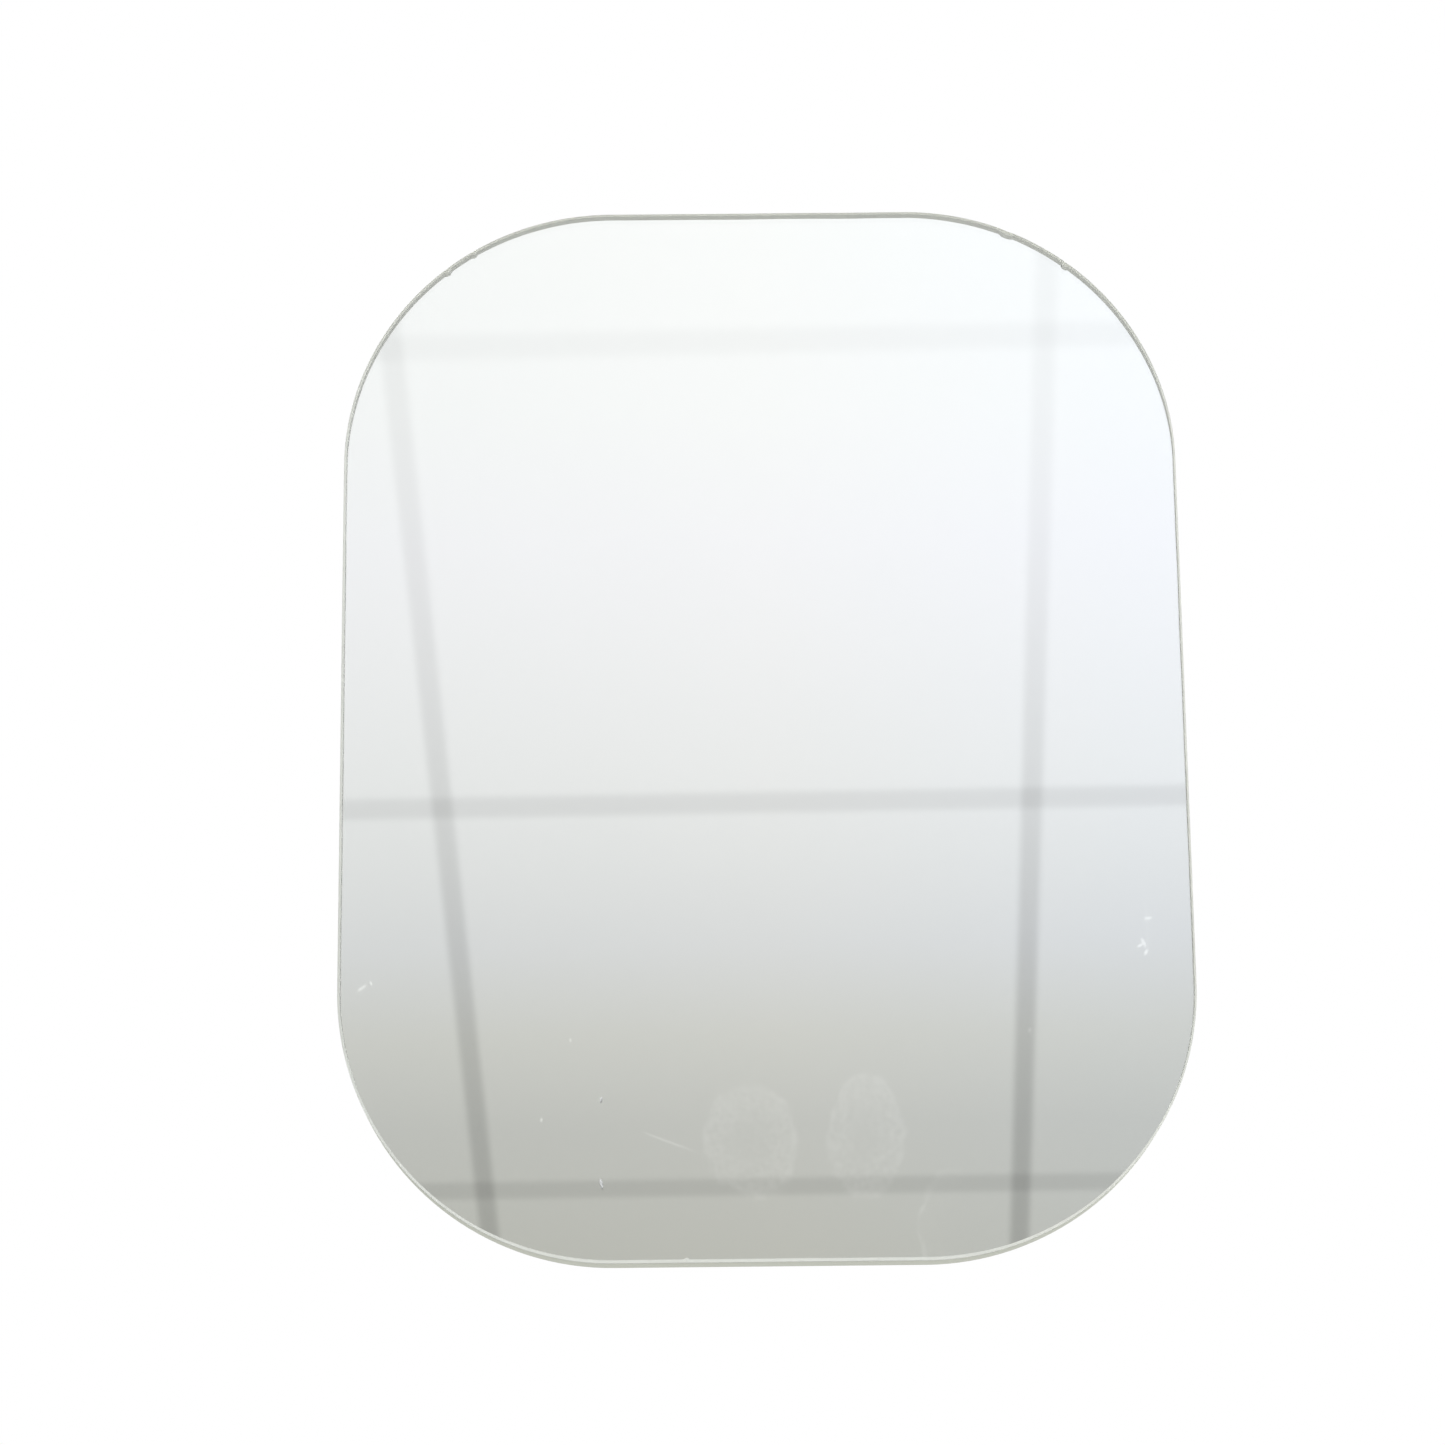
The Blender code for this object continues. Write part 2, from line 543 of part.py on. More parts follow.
def build_knob(label, axis, looks):
    """A lobed hand knob with a steel nut pressed into its hub from below."""
    hub = circle(KNOB_HUB_RADIUS, STAR_STEPS)
    full = star(KNOB_RADIUS, KNOB_LOBE_DEPTH, KNOB_LOBES)
    eased = star(KNOB_RADIUS - KNOB_EDGE / 2, KNOB_LOBE_DEPTH, KNOB_LOBES)
    top = star(KNOB_RADIUS - KNOB_TOP_INSET, KNOB_TOP_LOBE_DEPTH, KNOB_LOBES)
    centre = circle(KNOB_CAP_RADIUS, STAR_STEPS)
    knob = add_piece(f"{label}_knob", stacked(f"{label}_knob", [
        (hub, 0),
        (hub, KNOB_HUB_HEIGHT),
        (eased, KNOB_HUB_HEIGHT + KNOB_EDGE / 2),
        (full, KNOB_HUB_HEIGHT + 2 * KNOB_EDGE),
        (full, KNOB_HEIGHT - 2 * KNOB_EDGE),
        (eased, KNOB_HEIGHT - KNOB_EDGE),
        (top, KNOB_HEIGHT - KNOB_CAP_RISE),
        (centre, KNOB_HEIGHT)]), looks["knob"], axis)
    pocket_flats = CLAMP_NUT_FLATS + 2 * FIT_GAP
    cut_from(knob, prism(f"{label}_nut_pocket", hexagon(pocket_flats), -KNOB_HEIGHT,
                         CLAMP_NUT_HEIGHT + 2 * FIT_GAP))
    cut_from(knob, prism(f"{label}_knob_bore", circle(BOLT_HOLE_RADIUS), -KNOB_HEIGHT,
                         BOLT_IN_KNOB + FIT_GAP))
    nut = tube(f"{label}_knob_nut", fine_hexagon(CLAMP_NUT_FLATS, HEXAGON_STEPS),
               circle(BOLT_HOLE_RADIUS, HEXAGON_STEPS), FIT_GAP, FIT_GAP + CLAMP_NUT_HEIGHT)
    add_piece(f"{label}_knob_nut", nut, looks["zinc"], axis)


# ---------------------------------------------------------------- arm and wall plate
def eye_mesh(name):
    full = circle(EYE_RADIUS)
    eased = circle(EYE_RADIUS - EYE_CHAMFER)
    half = EYE_LENGTH / 2
    return stacked(name, [(eased, -half), (full, -half + EYE_CHAMFER), (full, half - EYE_CHAMFER),
                          (eased, half)])


def build_arm(pan, looks):
    bar = rounded_rectangle(ARM_BAR_WIDTH, ARM_BAR_HEIGHT, ARM_BAR_CORNER, SMALL_CORNER_STEPS)
    arm = add_piece("swivel_arm", prism("swivel_arm", bar, 0, ARM_LENGTH), looks["steel"], pan,
                    LOOK_FORWARD)
    out = Matrix.Translation((0, 0, ARM_LENGTH))
    level = out @ AXIS_LEVEL
    upright = LOOK_FORWARD.inverted()
    join_to(arm, eye_mesh("pan_eye"), upright)
    join_to(arm, eye_mesh("tilt_eye"), level)
    bore = circle(BOLT_HOLE_RADIUS)
    cut_from(arm, prism("pan_bore", bore, -EYE_LENGTH, EYE_LENGTH), upright)
    cut_from(arm, prism("tilt_bore", bore, -EYE_LENGTH, EYE_LENGTH), level)


def slot(width, length):
    return rounded_rectangle(width, length, width * SLOT_END_SHARE, SMALL_CORNER_STEPS)


def build_wall_plate(looks):
    outline = rounded_rectangle(PLATE_WIDTH, PLATE_HEIGHT, PLATE_CORNER, SMALL_CORNER_STEPS)
    plate = add_piece("wall_plate", prism("wall_plate", outline, 0, STEEL), looks["steel"], None,
                      LOOK_FORWARD)
    to_wall = Matrix.Translation((0, 0, PAN_STANDOFF)) @ LOOK_FORWARD.inverted()
    turn_ear = Matrix.Rotation(math.radians(-90), 4, "Z")
    for side, label in ((-1, "lower"), (1, "upper")):
        lift = Matrix.Translation((0, 0, side * (EAR_INNER + STEEL / 2)))
        join_to(plate, ear_mesh(f"wall_ear_{label}", PAN_STANDOFF - STEEL / 2),
                to_wall @ lift @ turn_ear)
    cut_from(plate, prism("wall_bore", circle(BOLT_HOLE_RADIUS), -2 * EAR_OUTER, 2 * EAR_OUTER),
             to_wall)
    fixing = slot(PLATE_SLOT_WIDTH, PLATE_SLOT_LENGTH)
    for number, (side_x, side_z) in enumerate(((-1, -1), (-1, 1), (1, -1), (1, 1)), start=1):
        cut_from(plate, prism(f"fixing_slot_{number}", fixing, -CUT_SPILL, STEEL + CUT_SPILL),
                 Matrix.Translation((side_x * PLATE_SLOT_SPACING_X / 2,
                                     side_z * PLATE_SLOT_SPACING_Z / 2, 0)))
    strap = slot(STRAP_SLOT_WIDTH, STRAP_SLOT_LENGTH)
    for side, label in ((-1, "left"), (1, "right")):
        cut_from(plate, prism(f"strap_slot_{label}", strap, -CUT_SPILL, STEEL + CUT_SPILL),
                 Matrix.Translation((side * STRAP_SLOT_OFFSET, 0, 0)))


# ---------------------------------------------------------------- assembly
def clear_scene():
    for left_over in list(bpy.data.objects):
        bpy.data.objects.remove(left_over, do_unlink=True)


def main():
    clear_scene()
    looks = {
        "glass": material("silvered_glass", (0.80, 0.82, 0.80), 0.03, 1.0),
        "silver": material("silver_backing_paint", (0.32, 0.33, 0.34), 0.45),
        "shell": material("shell_plastic", (0.50, 0.52, 0.47), 0.5),
        "foam": material("black_foam", (0.03, 0.03, 0.03), 0.9),
        "steel": material("coated_steel", (0.30, 0.31, 0.32), 0.45, 0.3),
        "zinc": material("zinc_plate", (0.62, 0.63, 0.64), 0.35, 1.0),
        "stainless": material("stainless_steel", (0.65, 0.65, 0.65), 0.25, 1.0),
        "nylon": material("nylon", (0.80, 0.79, 0.74), 0.5),
        "knob": material("black_knob", (0.03, 0.03, 0.032), 0.5),
    }
    pan_axis = add_axis("pan_axis", None, Matrix.Translation((0, -PAN_STANDOFF, 0)))
    tilt_axis = add_axis("tilt_axis", pan_axis,
                         Matrix.Translation((0, -ARM_LENGTH, 0)) @ AXIS_LEVEL)
    pan_knob_axis = add_axis("pan_knob_axis", None,
                             Matrix.Translation((0, -PAN_STANDOFF, KNOB_START)))
    tilt_knob_axis = add_axis("tilt_knob_axis", tilt_axis, Matrix.Translation((0, 0, KNOB_START)))
    fixed_pan_axis = add_axis("fixed_pan_axis", None, Matrix.Translation((0, -PAN_STANDOFF, 0)))
    head = add_axis("mirror_head", tilt_axis, AXIS_LEVEL.inverted() @ LOOK_FORWARD)

    build_wall_plate(looks)
    build_clamp("pan", fixed_pan_axis, pan_knob_axis, looks)
    build_arm(pan_axis, looks)
    build_clamp("tilt", tilt_axis, tilt_knob_axis, looks)
    build_bracket(head, looks)
    build_bracket_fasteners(head, looks)
    build_reinforcement(head, looks)
    build_shell(head, looks)
    build_mirror_bond(head, looks)
    build_pane(head, looks)


main()
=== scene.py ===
"""Looks of the frameless traffic mirror: fine pieces, materials, light and camera round the CAD frame.

Frame: metres, +Z up, wall plane Y = 0, the mirror looks along -Y.  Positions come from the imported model.
"""
import math

import bmesh
import bpy
from mathutils import Matrix, Vector, noise


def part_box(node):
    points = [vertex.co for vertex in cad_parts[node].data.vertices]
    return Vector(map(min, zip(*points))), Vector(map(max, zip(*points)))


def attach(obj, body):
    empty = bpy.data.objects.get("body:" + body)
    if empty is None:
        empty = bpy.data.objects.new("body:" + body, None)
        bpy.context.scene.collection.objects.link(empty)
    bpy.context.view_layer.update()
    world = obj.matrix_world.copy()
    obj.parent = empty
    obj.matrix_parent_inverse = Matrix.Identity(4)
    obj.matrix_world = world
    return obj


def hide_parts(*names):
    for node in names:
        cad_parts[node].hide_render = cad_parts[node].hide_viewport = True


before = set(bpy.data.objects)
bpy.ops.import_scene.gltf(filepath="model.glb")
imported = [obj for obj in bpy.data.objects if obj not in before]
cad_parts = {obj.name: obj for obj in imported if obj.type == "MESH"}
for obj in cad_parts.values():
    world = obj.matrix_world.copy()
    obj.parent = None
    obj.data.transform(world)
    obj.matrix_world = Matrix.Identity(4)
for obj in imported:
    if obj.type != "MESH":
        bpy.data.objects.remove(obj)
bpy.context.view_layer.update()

# ---- dimensions (metres)
PANE_CORNER = 0.064
# Ground chamfer round the front of the pane, hand held, so its width differs with the direction in degrees.
ARRIS = ((0, 0.00044), (45, 0.00084), (90, 0.00084), (135, 0.00076), (180, 0.00064), (225, 0.00054),
         (270, 0.00062), (315, 0.00047), (360, 0.00044))
ARRIS_WAVE = 0.00010            # how far its width wanders
BACK_ARRIS = 0.0003
GREASE_GLOW_PAINTED = 0.055         # painted glow: the emission that dense grease on the glass adds to what it reflects, standing in for the light it scatters
OUTLINE_PITCH = 0.0005          # distance between points round the pane
CHIP_PITCH = 0.00012            # smallest step inside a chip
FLAT_MARGIN = 0.004             # ring inside each face that keeps its shading flat
SILVER_GAP = 0.00002
SILVER_INSET = 0.00005          # bare glass between the coat and the back arris
STEEL = 0.0030
EDGE = 0.00035                  # eased edge of steel parts
BOLT_HOLE = 0.0043
SCREW_HOLE = 0.0028

SHELL_WALL = 0.0022
SHELL_FLOOR = 0.0025
SHELL_ROUND = 0.0020
SHELL_SLOPE = 0.044
SHELL_DOME = 0.0027
LEDGE_END = 0.0070
TAPE_CLEARANCE = 0.0003
LAND_MARGIN = 0.0020            # raised land beyond its tape
LAND_WALL = 0.0020
POCKETS = 5                     # cored out behind each land
WEEP_RADIUS = 0.0020
WEEP_X = 0.025
WEEP_HEIGHT = 0.016             # above the lowest edge

EAR_RADIUS = 0.0125             # ears of the bracket and of the wall plate
EAR_INNER = 0.0111              # half the gap between a pair of ears
EYE_RADIUS = 0.0110             # eyes of the arm
EYE_HALF = 0.0090
BAR_WIDTH = 0.0130
BAR_HEIGHT = 0.0140
BAR_CORNER = 0.0026
BRACKET_CORNER = 0.008
PLATE_CORNER = 0.012
FIXING_SLOT = (0.0065, 0.0130)  # width and length of the slots in the wall plate
FIXING_X = 0.028
FIXING_Z = 0.046
STRAP_SLOT = (0.0052, 0.0240)
STRAP_X = 0.033
SPRING_RADIUS = 0.0070
KNOB_RADIUS = 0.0180
KNOB_BORE_DEPTH = 0.0123
NUT_POCKET = 0.0136             # across flats
NUT_POCKET_DEPTH = 0.0071
BEAD_GAP = 0.0003               # middle of a weld bead in front of the faces it joins

STEPS = 72                      # points round a turned piece
LOBE_STEPS = 160
SCREW_STEPS = 48
BOLT_STEPS = 96
BEAD_STEPS = 12
SMOOTH_ANGLE = math.radians(32)

glass_low, glass_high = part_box("mirror_glass")
PANE_WIDTH = glass_high.x - glass_low.x
PANE_HEIGHT = glass_high.z - glass_low.z
PANE_FRONT = -glass_low.y       # distances in front of the wall, along -Y
PANE_BACK = -glass_high.y
pane_centre = Vector((0.0, glass_low.y, (glass_low.z + glass_high.z) / 2))

LOOK = Matrix.Rotation(math.radians(90), 4, "X")        # local Z is world -Y, local Y is world Z
LEVEL = Matrix.Rotation(math.radians(90), 4, "Y")       # local Z is world X


# ---- outlines
def rounded_rectangle(width, height, radius, steps):
    points = []
    for quarter, (side_x, side_y) in enumerate(((1, 1), (-1, 1), (-1, -1), (1, -1))):
        for step in range(steps + 1):
            angle = math.radians(90) * (quarter + step / steps)
            points.append((side_x * (width / 2 - radius) + radius * math.cos(angle),
                           side_y * (height / 2 - radius) + radius * math.sin(angle)))
    return points


def circle(radius, steps=STEPS):
    turn = 2 * math.pi / steps
    return [(radius * math.cos(turn * i), radius * math.sin(turn * i)) for i in range(steps)]


def hexagon(flats, steps=STEPS):
    points = []
    for i in range(steps):
        angle = 2 * math.pi * i / steps
        off = (angle - math.radians(30)) % math.radians(60)
        off = min(off, math.radians(60) - off)
        reach = flats / 2 / math.cos(off)
        points.append((reach * math.cos(angle), reach * math.sin(angle)))
    return points


def pane_points(pitch):
    """Points evenly round the pane, each with its outward direction."""
    half_x = PANE_WIDTH / 2 - PANE_CORNER
    half_z = PANE_HEIGHT / 2 - PANE_CORNER
    quarter = PANE_CORNER * math.pi / 2
    points = []
    for turn, (sx, sz) in enumerate(((1, 1), (-1, 1), (-1, -1), (1, -1))):
        arc_steps = max(1, round(quarter / pitch))
        for i in range(arc_steps):
            angle = math.radians(90) * (turn + i / arc_steps)
            way = Vector((math.cos(angle), math.sin(angle)))
            points.append((Vector((sx * half_x, sz * half_z)) + PANE_CORNER * way, way))
        angle = math.radians(90) * (turn + 1)
        way = Vector((math.cos(angle), math.sin(angle)))
        straight = 2 * half_x if turn % 2 == 0 else 2 * half_z
        along = Vector((-way.y, way.x))
        start = Vector((sx * half_x, sz * half_z)) + PANE_CORNER * way
        straight_steps = max(1, round(straight / pitch))
        for i in range(straight_steps):
            points.append((start + along * straight * i / straight_steps, way))
    return points


# ---- meshes
def linked(name, data):
    made = bpy.data.objects.new(name, data)
    bpy.context.scene.collection.objects.link(made)
    return made


def smoothed(mesh, angle=SMOOTH_ANGLE):
    mesh.shade_smooth()
    mesh.set_sharp_from_angle(angle=angle)
    return mesh


def finished(name, shape, place=Matrix.Identity(4), smooth_angle=SMOOTH_ANGLE):
    bmesh.ops.recalc_face_normals(shape, faces=shape.faces)
    mesh = bpy.data.meshes.new(name)
    shape.to_mesh(mesh)
    shape.free()
    mesh.transform(place)
    return smoothed(mesh, smooth_angle)


def bridge(shape, low, high):
    count = len(low)
    for i in range(count):
        j = (i + 1) % count
        shape.faces.new((low[i], low[j], high[j], high[i]))


def tube(shape, rings, capped=True):
    """Faces from each ring to the next, and a cap on each end."""
    for low, high in zip(rings, rings[1:]):
        bridge(shape, low, high)
    if capped:
        shape.faces.new(rings[0])
        shape.faces.new(rings[-1])


def skin(name, sections, place=Matrix.Identity(4), ends=True, smooth_angle=SMOOTH_ANGLE):
    """A closed skin through (outline, height) sections, capped or joined end to end.

    A height is a number, or a function of x and y.
    """
    shape = bmesh.new()
    rings = [[shape.verts.new((x, y, height(x, y) if callable(height) else height)) for x, y in outline]
             for outline, height in sections]
    tube(shape, rings if ends else rings + rings[:1], ends)
    return finished(name, shape, place, smooth_angle)


def eased(outline_at, start, end, edge=EDGE, steps=3):
    """Sections of a slab whose two outer edges are rounded; outline_at(inset) gives the outline."""
    sections = []
    for i in range(steps + 1):
        angle = math.radians(90) * i / steps
        sections.append((outline_at(edge * (1 - math.sin(angle))), start + edge * (1 - math.cos(angle))))
    mirrored = [(outline, start + end - height) for outline, height in reversed(sections)]
    return sections + mirrored


def flared(outline_at, start, end, edge=EDGE):
    """Sections of a cutter that leaves a small chamfer at both faces of a plate from start to end."""
    return [(outline_at(2 * edge), start - edge), (outline_at(0), start + edge),
            (outline_at(0), end - edge), (outline_at(2 * edge), end + edge)]


def round_at(radius, steps=STEPS):
    return lambda grow: circle(radius + grow, steps)


def plate_at(width, height, corner, steps):
    return lambda inset: rounded_rectangle(width - 2 * inset, height - 2 * inset, corner - inset, steps)


def combined(name, base, changes, smooth_angle=SMOOTH_ANGLE):
    """base with each (operation, mesh) of changes applied by an exact boolean."""
    body = linked(name, base)
    guides = []
    for number, (operation, mesh) in enumerate(changes):
        guide = linked(f"{name}_guide_{number}", mesh)
        change = body.modifiers.new(guide.name, "BOOLEAN")
        change.operation = operation
        change.solver = "EXACT"
        change.object = guide
        guides.append(guide)
    result = bpy.data.meshes.new_from_object(body.evaluated_get(bpy.context.evaluated_depsgraph_get()))
    for left_over in guides + [body]:
        bpy.data.objects.remove(left_over)
    result.name = name
    return smoothed(result, smooth_angle)


def joined(name, meshes):
    shape = bmesh.new()
    for mesh in meshes:
        shape.from_mesh(mesh)
    mesh = bpy.data.meshes.new(name)
    shape.to_mesh(mesh)
    shape.free()
    return smoothed(mesh)


def weld_bead(name, points, radius=0.0013, ripple=0.00018, pitch=0.0011, closed=False):
    """A hand-laid bead along points: a tube whose radius swells with each puddle."""
    shape = bmesh.new()
    rings = []
    count = len(points)
    travelled = 0.0
    for i, point in enumerate(points):
        before = points[i - 1] if i or closed else points[0]
        after = points[(i + 1) % count] if i < count - 1 or closed else points[-1]
        way = (after - before).normalized()
        if i:
            travelled += (point - points[i - 1]).length
        side = way.orthogonal().normalized() if not rings else side - way * side.dot(way)
        side = side.normalized()
        up = way.cross(side)
        wander = noise.noise(point * 900) * ripple
        here = radius - ripple + ripple * abs(math.sin(math.pi * travelled / pitch)) * 1.6 + wander
        if not closed and i in (0, count - 1):
            here *= 0.45
        rings.append([shape.verts.new(point + here * (side * math.cos(a) + up * math.sin(a)))
                      for a in (2 * math.pi * k / BEAD_STEPS for k in range(BEAD_STEPS))])
    if closed:
        start, end = rings[0], rings[-1]
        turn = min(range(BEAD_STEPS), key=lambda k: (end[0].co - start[k].co).length)
        rings.append(start[turn:] + start[:turn])
    tube(shape, rings, not closed)
    return finished(name, shape, smooth_angle=math.radians(70))


def line_points(start, end, pitch=0.00028):
    start, end = Vector(start), Vector(end)
    steps = max(2, round((end - start).length / pitch))
    return [start.lerp(end, i / steps) for i in range(steps + 1)]


def add_piece(name, mesh, looks, body, slot, *nodes):
    piece = linked(name, mesh)
    for look in looks if isinstance(looks, list) else [looks]:
        mesh.materials.append(look)
    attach(piece, body)
    if nodes:
        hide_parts(*nodes)
    return piece


# ---- materials
class Look:
    """One procedural material; patterns read object coordinates, which are metres in the row frame."""

    def __init__(self, name, colour, roughness, metallic=0.0):
        self.material = bpy.data.materials.new(name)
        self.material.use_nodes = True
        self.tree = self.material.node_tree
        self.shader = self.tree.nodes["Principled BSDF"]
        self.shader.inputs["Base Color"].default_value = (*colour, 1.0)
        self.shader.inputs["Roughness"].default_value = roughness
        self.shader.inputs["Metallic"].default_value = metallic
        self.place = self.node("ShaderNodeTexCoord").outputs["Object"]

    def node(self, kind, inputs=None, **settings):
        """A new node with these settings, and a value or a link in each of these inputs."""
        made = self.tree.nodes.new(kind)
        for key, value in settings.items():
            setattr(made, key, value)
        for key, value in (inputs or {}).items():
            self.feed(made.inputs[key], value)
        return made

    def feed(self, socket, value):
        if isinstance(value, bpy.types.NodeSocket):
            self.tree.links.new(value, socket)
        elif isinstance(value, tuple) and len(value) == 3 and socket.type == "RGBA":
            socket.default_value = (*value, 1.0)
        else:
            socket.default_value = value

    def set(self, name, value):
        self.feed(self.shader.inputs[name], value)

    def math(self, operation, *values, clamp=False):
        inputs = dict(enumerate(values))
        return self.node("ShaderNodeMath", inputs, operation=operation, use_clamp=clamp).outputs[0]

    def total(self, values):
        result = values[0]
        for value in values[1:]:
            result = self.math("ADD", result, value)
        return result

    def stretched(self, scale, turn=(0, 0, 0), shift=(0, 0, 0)):
        inputs = {"Vector": self.place, "Location": shift, "Rotation": turn, "Scale": scale}
        return self.node("ShaderNodeMapping", inputs, vector_type="TEXTURE").outputs[0]

    def noise(self, scale, detail=2.0, rough=0.5, distortion=0.0, place=None):
        inputs = {"Vector": place or self.place, "Scale": scale, "Detail": detail, "Roughness": rough,
                  "Distortion": distortion}
        return self.node("ShaderNodeTexNoise", inputs).outputs[0]

    def cells(self, scale, feature="F1"):
        inputs = {"Vector": self.place, "Scale": scale}
        return self.node("ShaderNodeTexVoronoi", inputs, feature=feature).outputs[0]

    def between(self, value, low, high, to_low=0.0, to_high=1.0):
        inputs = {"Value": value, "From Min": low, "From Max": high, "To Min": to_low, "To Max": to_high}
        return self.node("ShaderNodeMapRange", inputs, interpolation_type="SMOOTHSTEP").outputs[0]

    def mix(self, factor, first, second, blend="MIX"):
        inputs = {"Factor": factor, 6: first, 7: second}
        return self.node("ShaderNodeMix", inputs, data_type="RGBA", blend_type=blend).outputs[2]

    def ramp(self, factor, stops):
        """A colour that runs through (place, colour) stops."""
        made = self.node("ShaderNodeValToRGB")
        self.feed(made.inputs[0], factor)
        elements = made.color_ramp.elements
        while len(elements) < len(stops):
            elements.new(0.5)
        for element, (at, colour) in zip(elements, stops):
            element.position = at
            element.color = (*colour, 1.0)
        return made.outputs[0]

    def bump(self, height, distance, strength=1.0, over=None):
        inputs = {"Height": height, "Distance": distance, "Strength": strength}
        if over is not None:
            inputs["Normal"] = over
        made = self.node("ShaderNodeBump", inputs)
        self.set("Normal", made.outputs[0])
        return made.outputs[0]

    def edges(self, radius):
        """1 on convex and concave edges, 0 on flats."""
        soft = self.node("ShaderNodeBevel", {"Radius": radius}, samples=4).outputs[0]
        hard = self.node("ShaderNodeNewGeometry").outputs["Normal"]
        turned = self.node("ShaderNodeVectorMath", {0: soft, 1: hard}, operation="DOT_PRODUCT")
        return self.between(self.math("SUBTRACT", 1.0, turned.outputs["Value"]), 0.02, 0.16)

    def across(self):
        return self.node("ShaderNodeSeparateXYZ", {0: self.place}).outputs

    def spot(self, x, z, wide, tall, turn, ragged, grain):
        """How far a point is from a place on the pane, 1 at the rim of an ellipse with a ragged edge."""
        at = self.stretched((wide, 1.0, tall), (0.0, math.radians(turn), 0.0), (x, 0.0, z))
        flat = self.node("ShaderNodeVectorMath", {0: at, 1: (1.0, 0.0, 1.0)}, operation="MULTIPLY").outputs[0]
        far = self.node("ShaderNodeVectorMath", {0: flat}, operation="LENGTH").outputs["Value"]
        wander = self.math("SUBTRACT", self.noise(grain, 3.0), 0.5)
        return self.math("MULTIPLY_ADD", wander, ragged, far)


# Fingertips, real grease painted as a faint glow: x, z, half width, half length, lean in degrees, strength of
# the rim, strength of the film.
FINGERTIPS = (
    (-0.0039, -0.1002, 0.0102, 0.0130, -8.0, 0.20, 0.17),
    (0.0222, -0.0997, 0.0083, 0.0143, 4.0, 0.20, 0.16),
)
# A half print, real grease also painted as a faint glow; same columns as the fingertips.
HALF_PRINT = (0.0430, -0.1210, 0.0092, 0.0130, 0.0, 0.24, 0.05)
HALF_PRINT_ENDS = (0.047, 0.037)        # x where the half print has gone, x where it is whole
# Scratches and ticks: x, z, half width, half length, lean in degrees, strength. The first table is real
# scratches and specks painted as a faint glow, a painted glint; the white ticks are white.
SCRATCH_GLOWS = (
    (-0.0234, -0.1002, 0.00024, 0.0064, -69.0, 0.42),
    (-0.0943, -0.0635, 0.00026, 0.0014, 54.0, 1.10),
    (-0.0922, -0.0624, 0.00026, 0.0006, -20.0, 0.90),
    (0.0890, -0.0500, 0.00026, 0.0090, -2.0, 0.10),
    (0.0881, -0.0545, 0.00034, 0.0013, -28.0, 1.00),
    (0.0886, -0.0568, 0.00042, 0.0008, 24.0, 0.90),
    (0.0872, -0.0552, 0.00030, 0.0007, 70.0, 1.10),
    (0.0894, -0.0487, 0.00026, 0.0010, 88.0, 1.00),
    (-0.0525, -0.0949, 0.00030, 0.0005, 10.0, 0.90),
    (-0.0458, -0.0763, 0.00028, 0.0004, 0.0, 0.80),
    (0.0609, -0.0750, 0.00030, 0.0004, 0.0, 0.80),
)
WHITE_TICKS = (
    (-0.0387, -0.0904, 0.00030, 0.0006, 20.0, 0.35),
    (-0.0387, -0.1099, 0.00034, 0.0011, -12.0, 0.55),
)


def finger_mark_glow(look, x, z, wide, tall, turn, rim, film):
    """A greasy print painted as a faint glow: a broken rim, a thinner middle and a patchy film."""
    far = look.spot(x, z, wide, tall, turn, 0.50, 110.0)
    ring = look.math("MULTIPLY", look.between(far, 0.90, 1.00), look.between(far, 1.11, 1.00))
    inside = look.between(far, 1.04, 0.92)
    patchy = look.between(look.noise(760.0, 4.0, 0.7), 0.40, 0.60, 0.15, 1.25)
    hollow = look.between(far, 0.15, 0.75, 0.4, 1.0)
    body = look.math("MULTIPLY", look.math("MULTIPLY", inside, hollow), patchy)
    kept = look.between(look.noise(280.0, 4.0, 0.7), 0.42, 0.60, 0.0, rim)
    return look.math("MULTIPLY_ADD", body, film, look.math("MULTIPLY", ring, kept))


def strokes(look, table):
    return [look.between(look.spot(x, z, wide, tall, turn, 0.9, 1500.0), 1.25, 0.55, 0.0, strength)
            for x, z, wide, tall, turn, strength in table]


def glass_look():
    """Polished float glass: grease and scratches are painted as a faint glow for the little light they
    scatter, ticks are white.
    """
    look = Look("polished_glass", (0.99, 0.995, 0.99), 0.0)
    look.set("IOR", 1.52)
    x_place, _, z_place = look.across()
    kept = look.between(x_place, *HALF_PRINT_ENDS)
    half_print = look.math("MULTIPLY", finger_mark_glow(look, *HALF_PRINT), kept)
    grease_glow = [finger_mark_glow(look, *tip) for tip in FINGERTIPS] + [half_print] + strokes(look, SCRATCH_GLOWS)
    # a grease film painted as a faint glow, stronger towards the bottom of the pane
    low = look.between(z_place, 0.02, -0.12, 0.005, 0.04)
    grease_glow.append(look.math("MULTIPLY", look.noise(14.0, 3.0, 0.6), low))
    # dust specks, also painted as a faint glow
    dust = look.between(look.cells(260.0), 0.075, 0.035, 0.0, 0.5)
    rare = look.between(look.noise(70.0, 1.0), 0.58, 0.66)
    grease_glow.append(look.math("MULTIPLY", dust, rare))
    # painted glow: emission from the grease, film, dust and scratch masks
    look.set("Emission Color", (1.0, 1.0, 1.0))
    look.set("Emission Strength", look.math("MULTIPLY", look.total(grease_glow), GREASE_GLOW_PAINTED))
    white = look.total(strokes(look, WHITE_TICKS))
    look.set("Transmission Weight", look.math("SUBTRACT", 1.0, white, clamp=True))
    return look.material


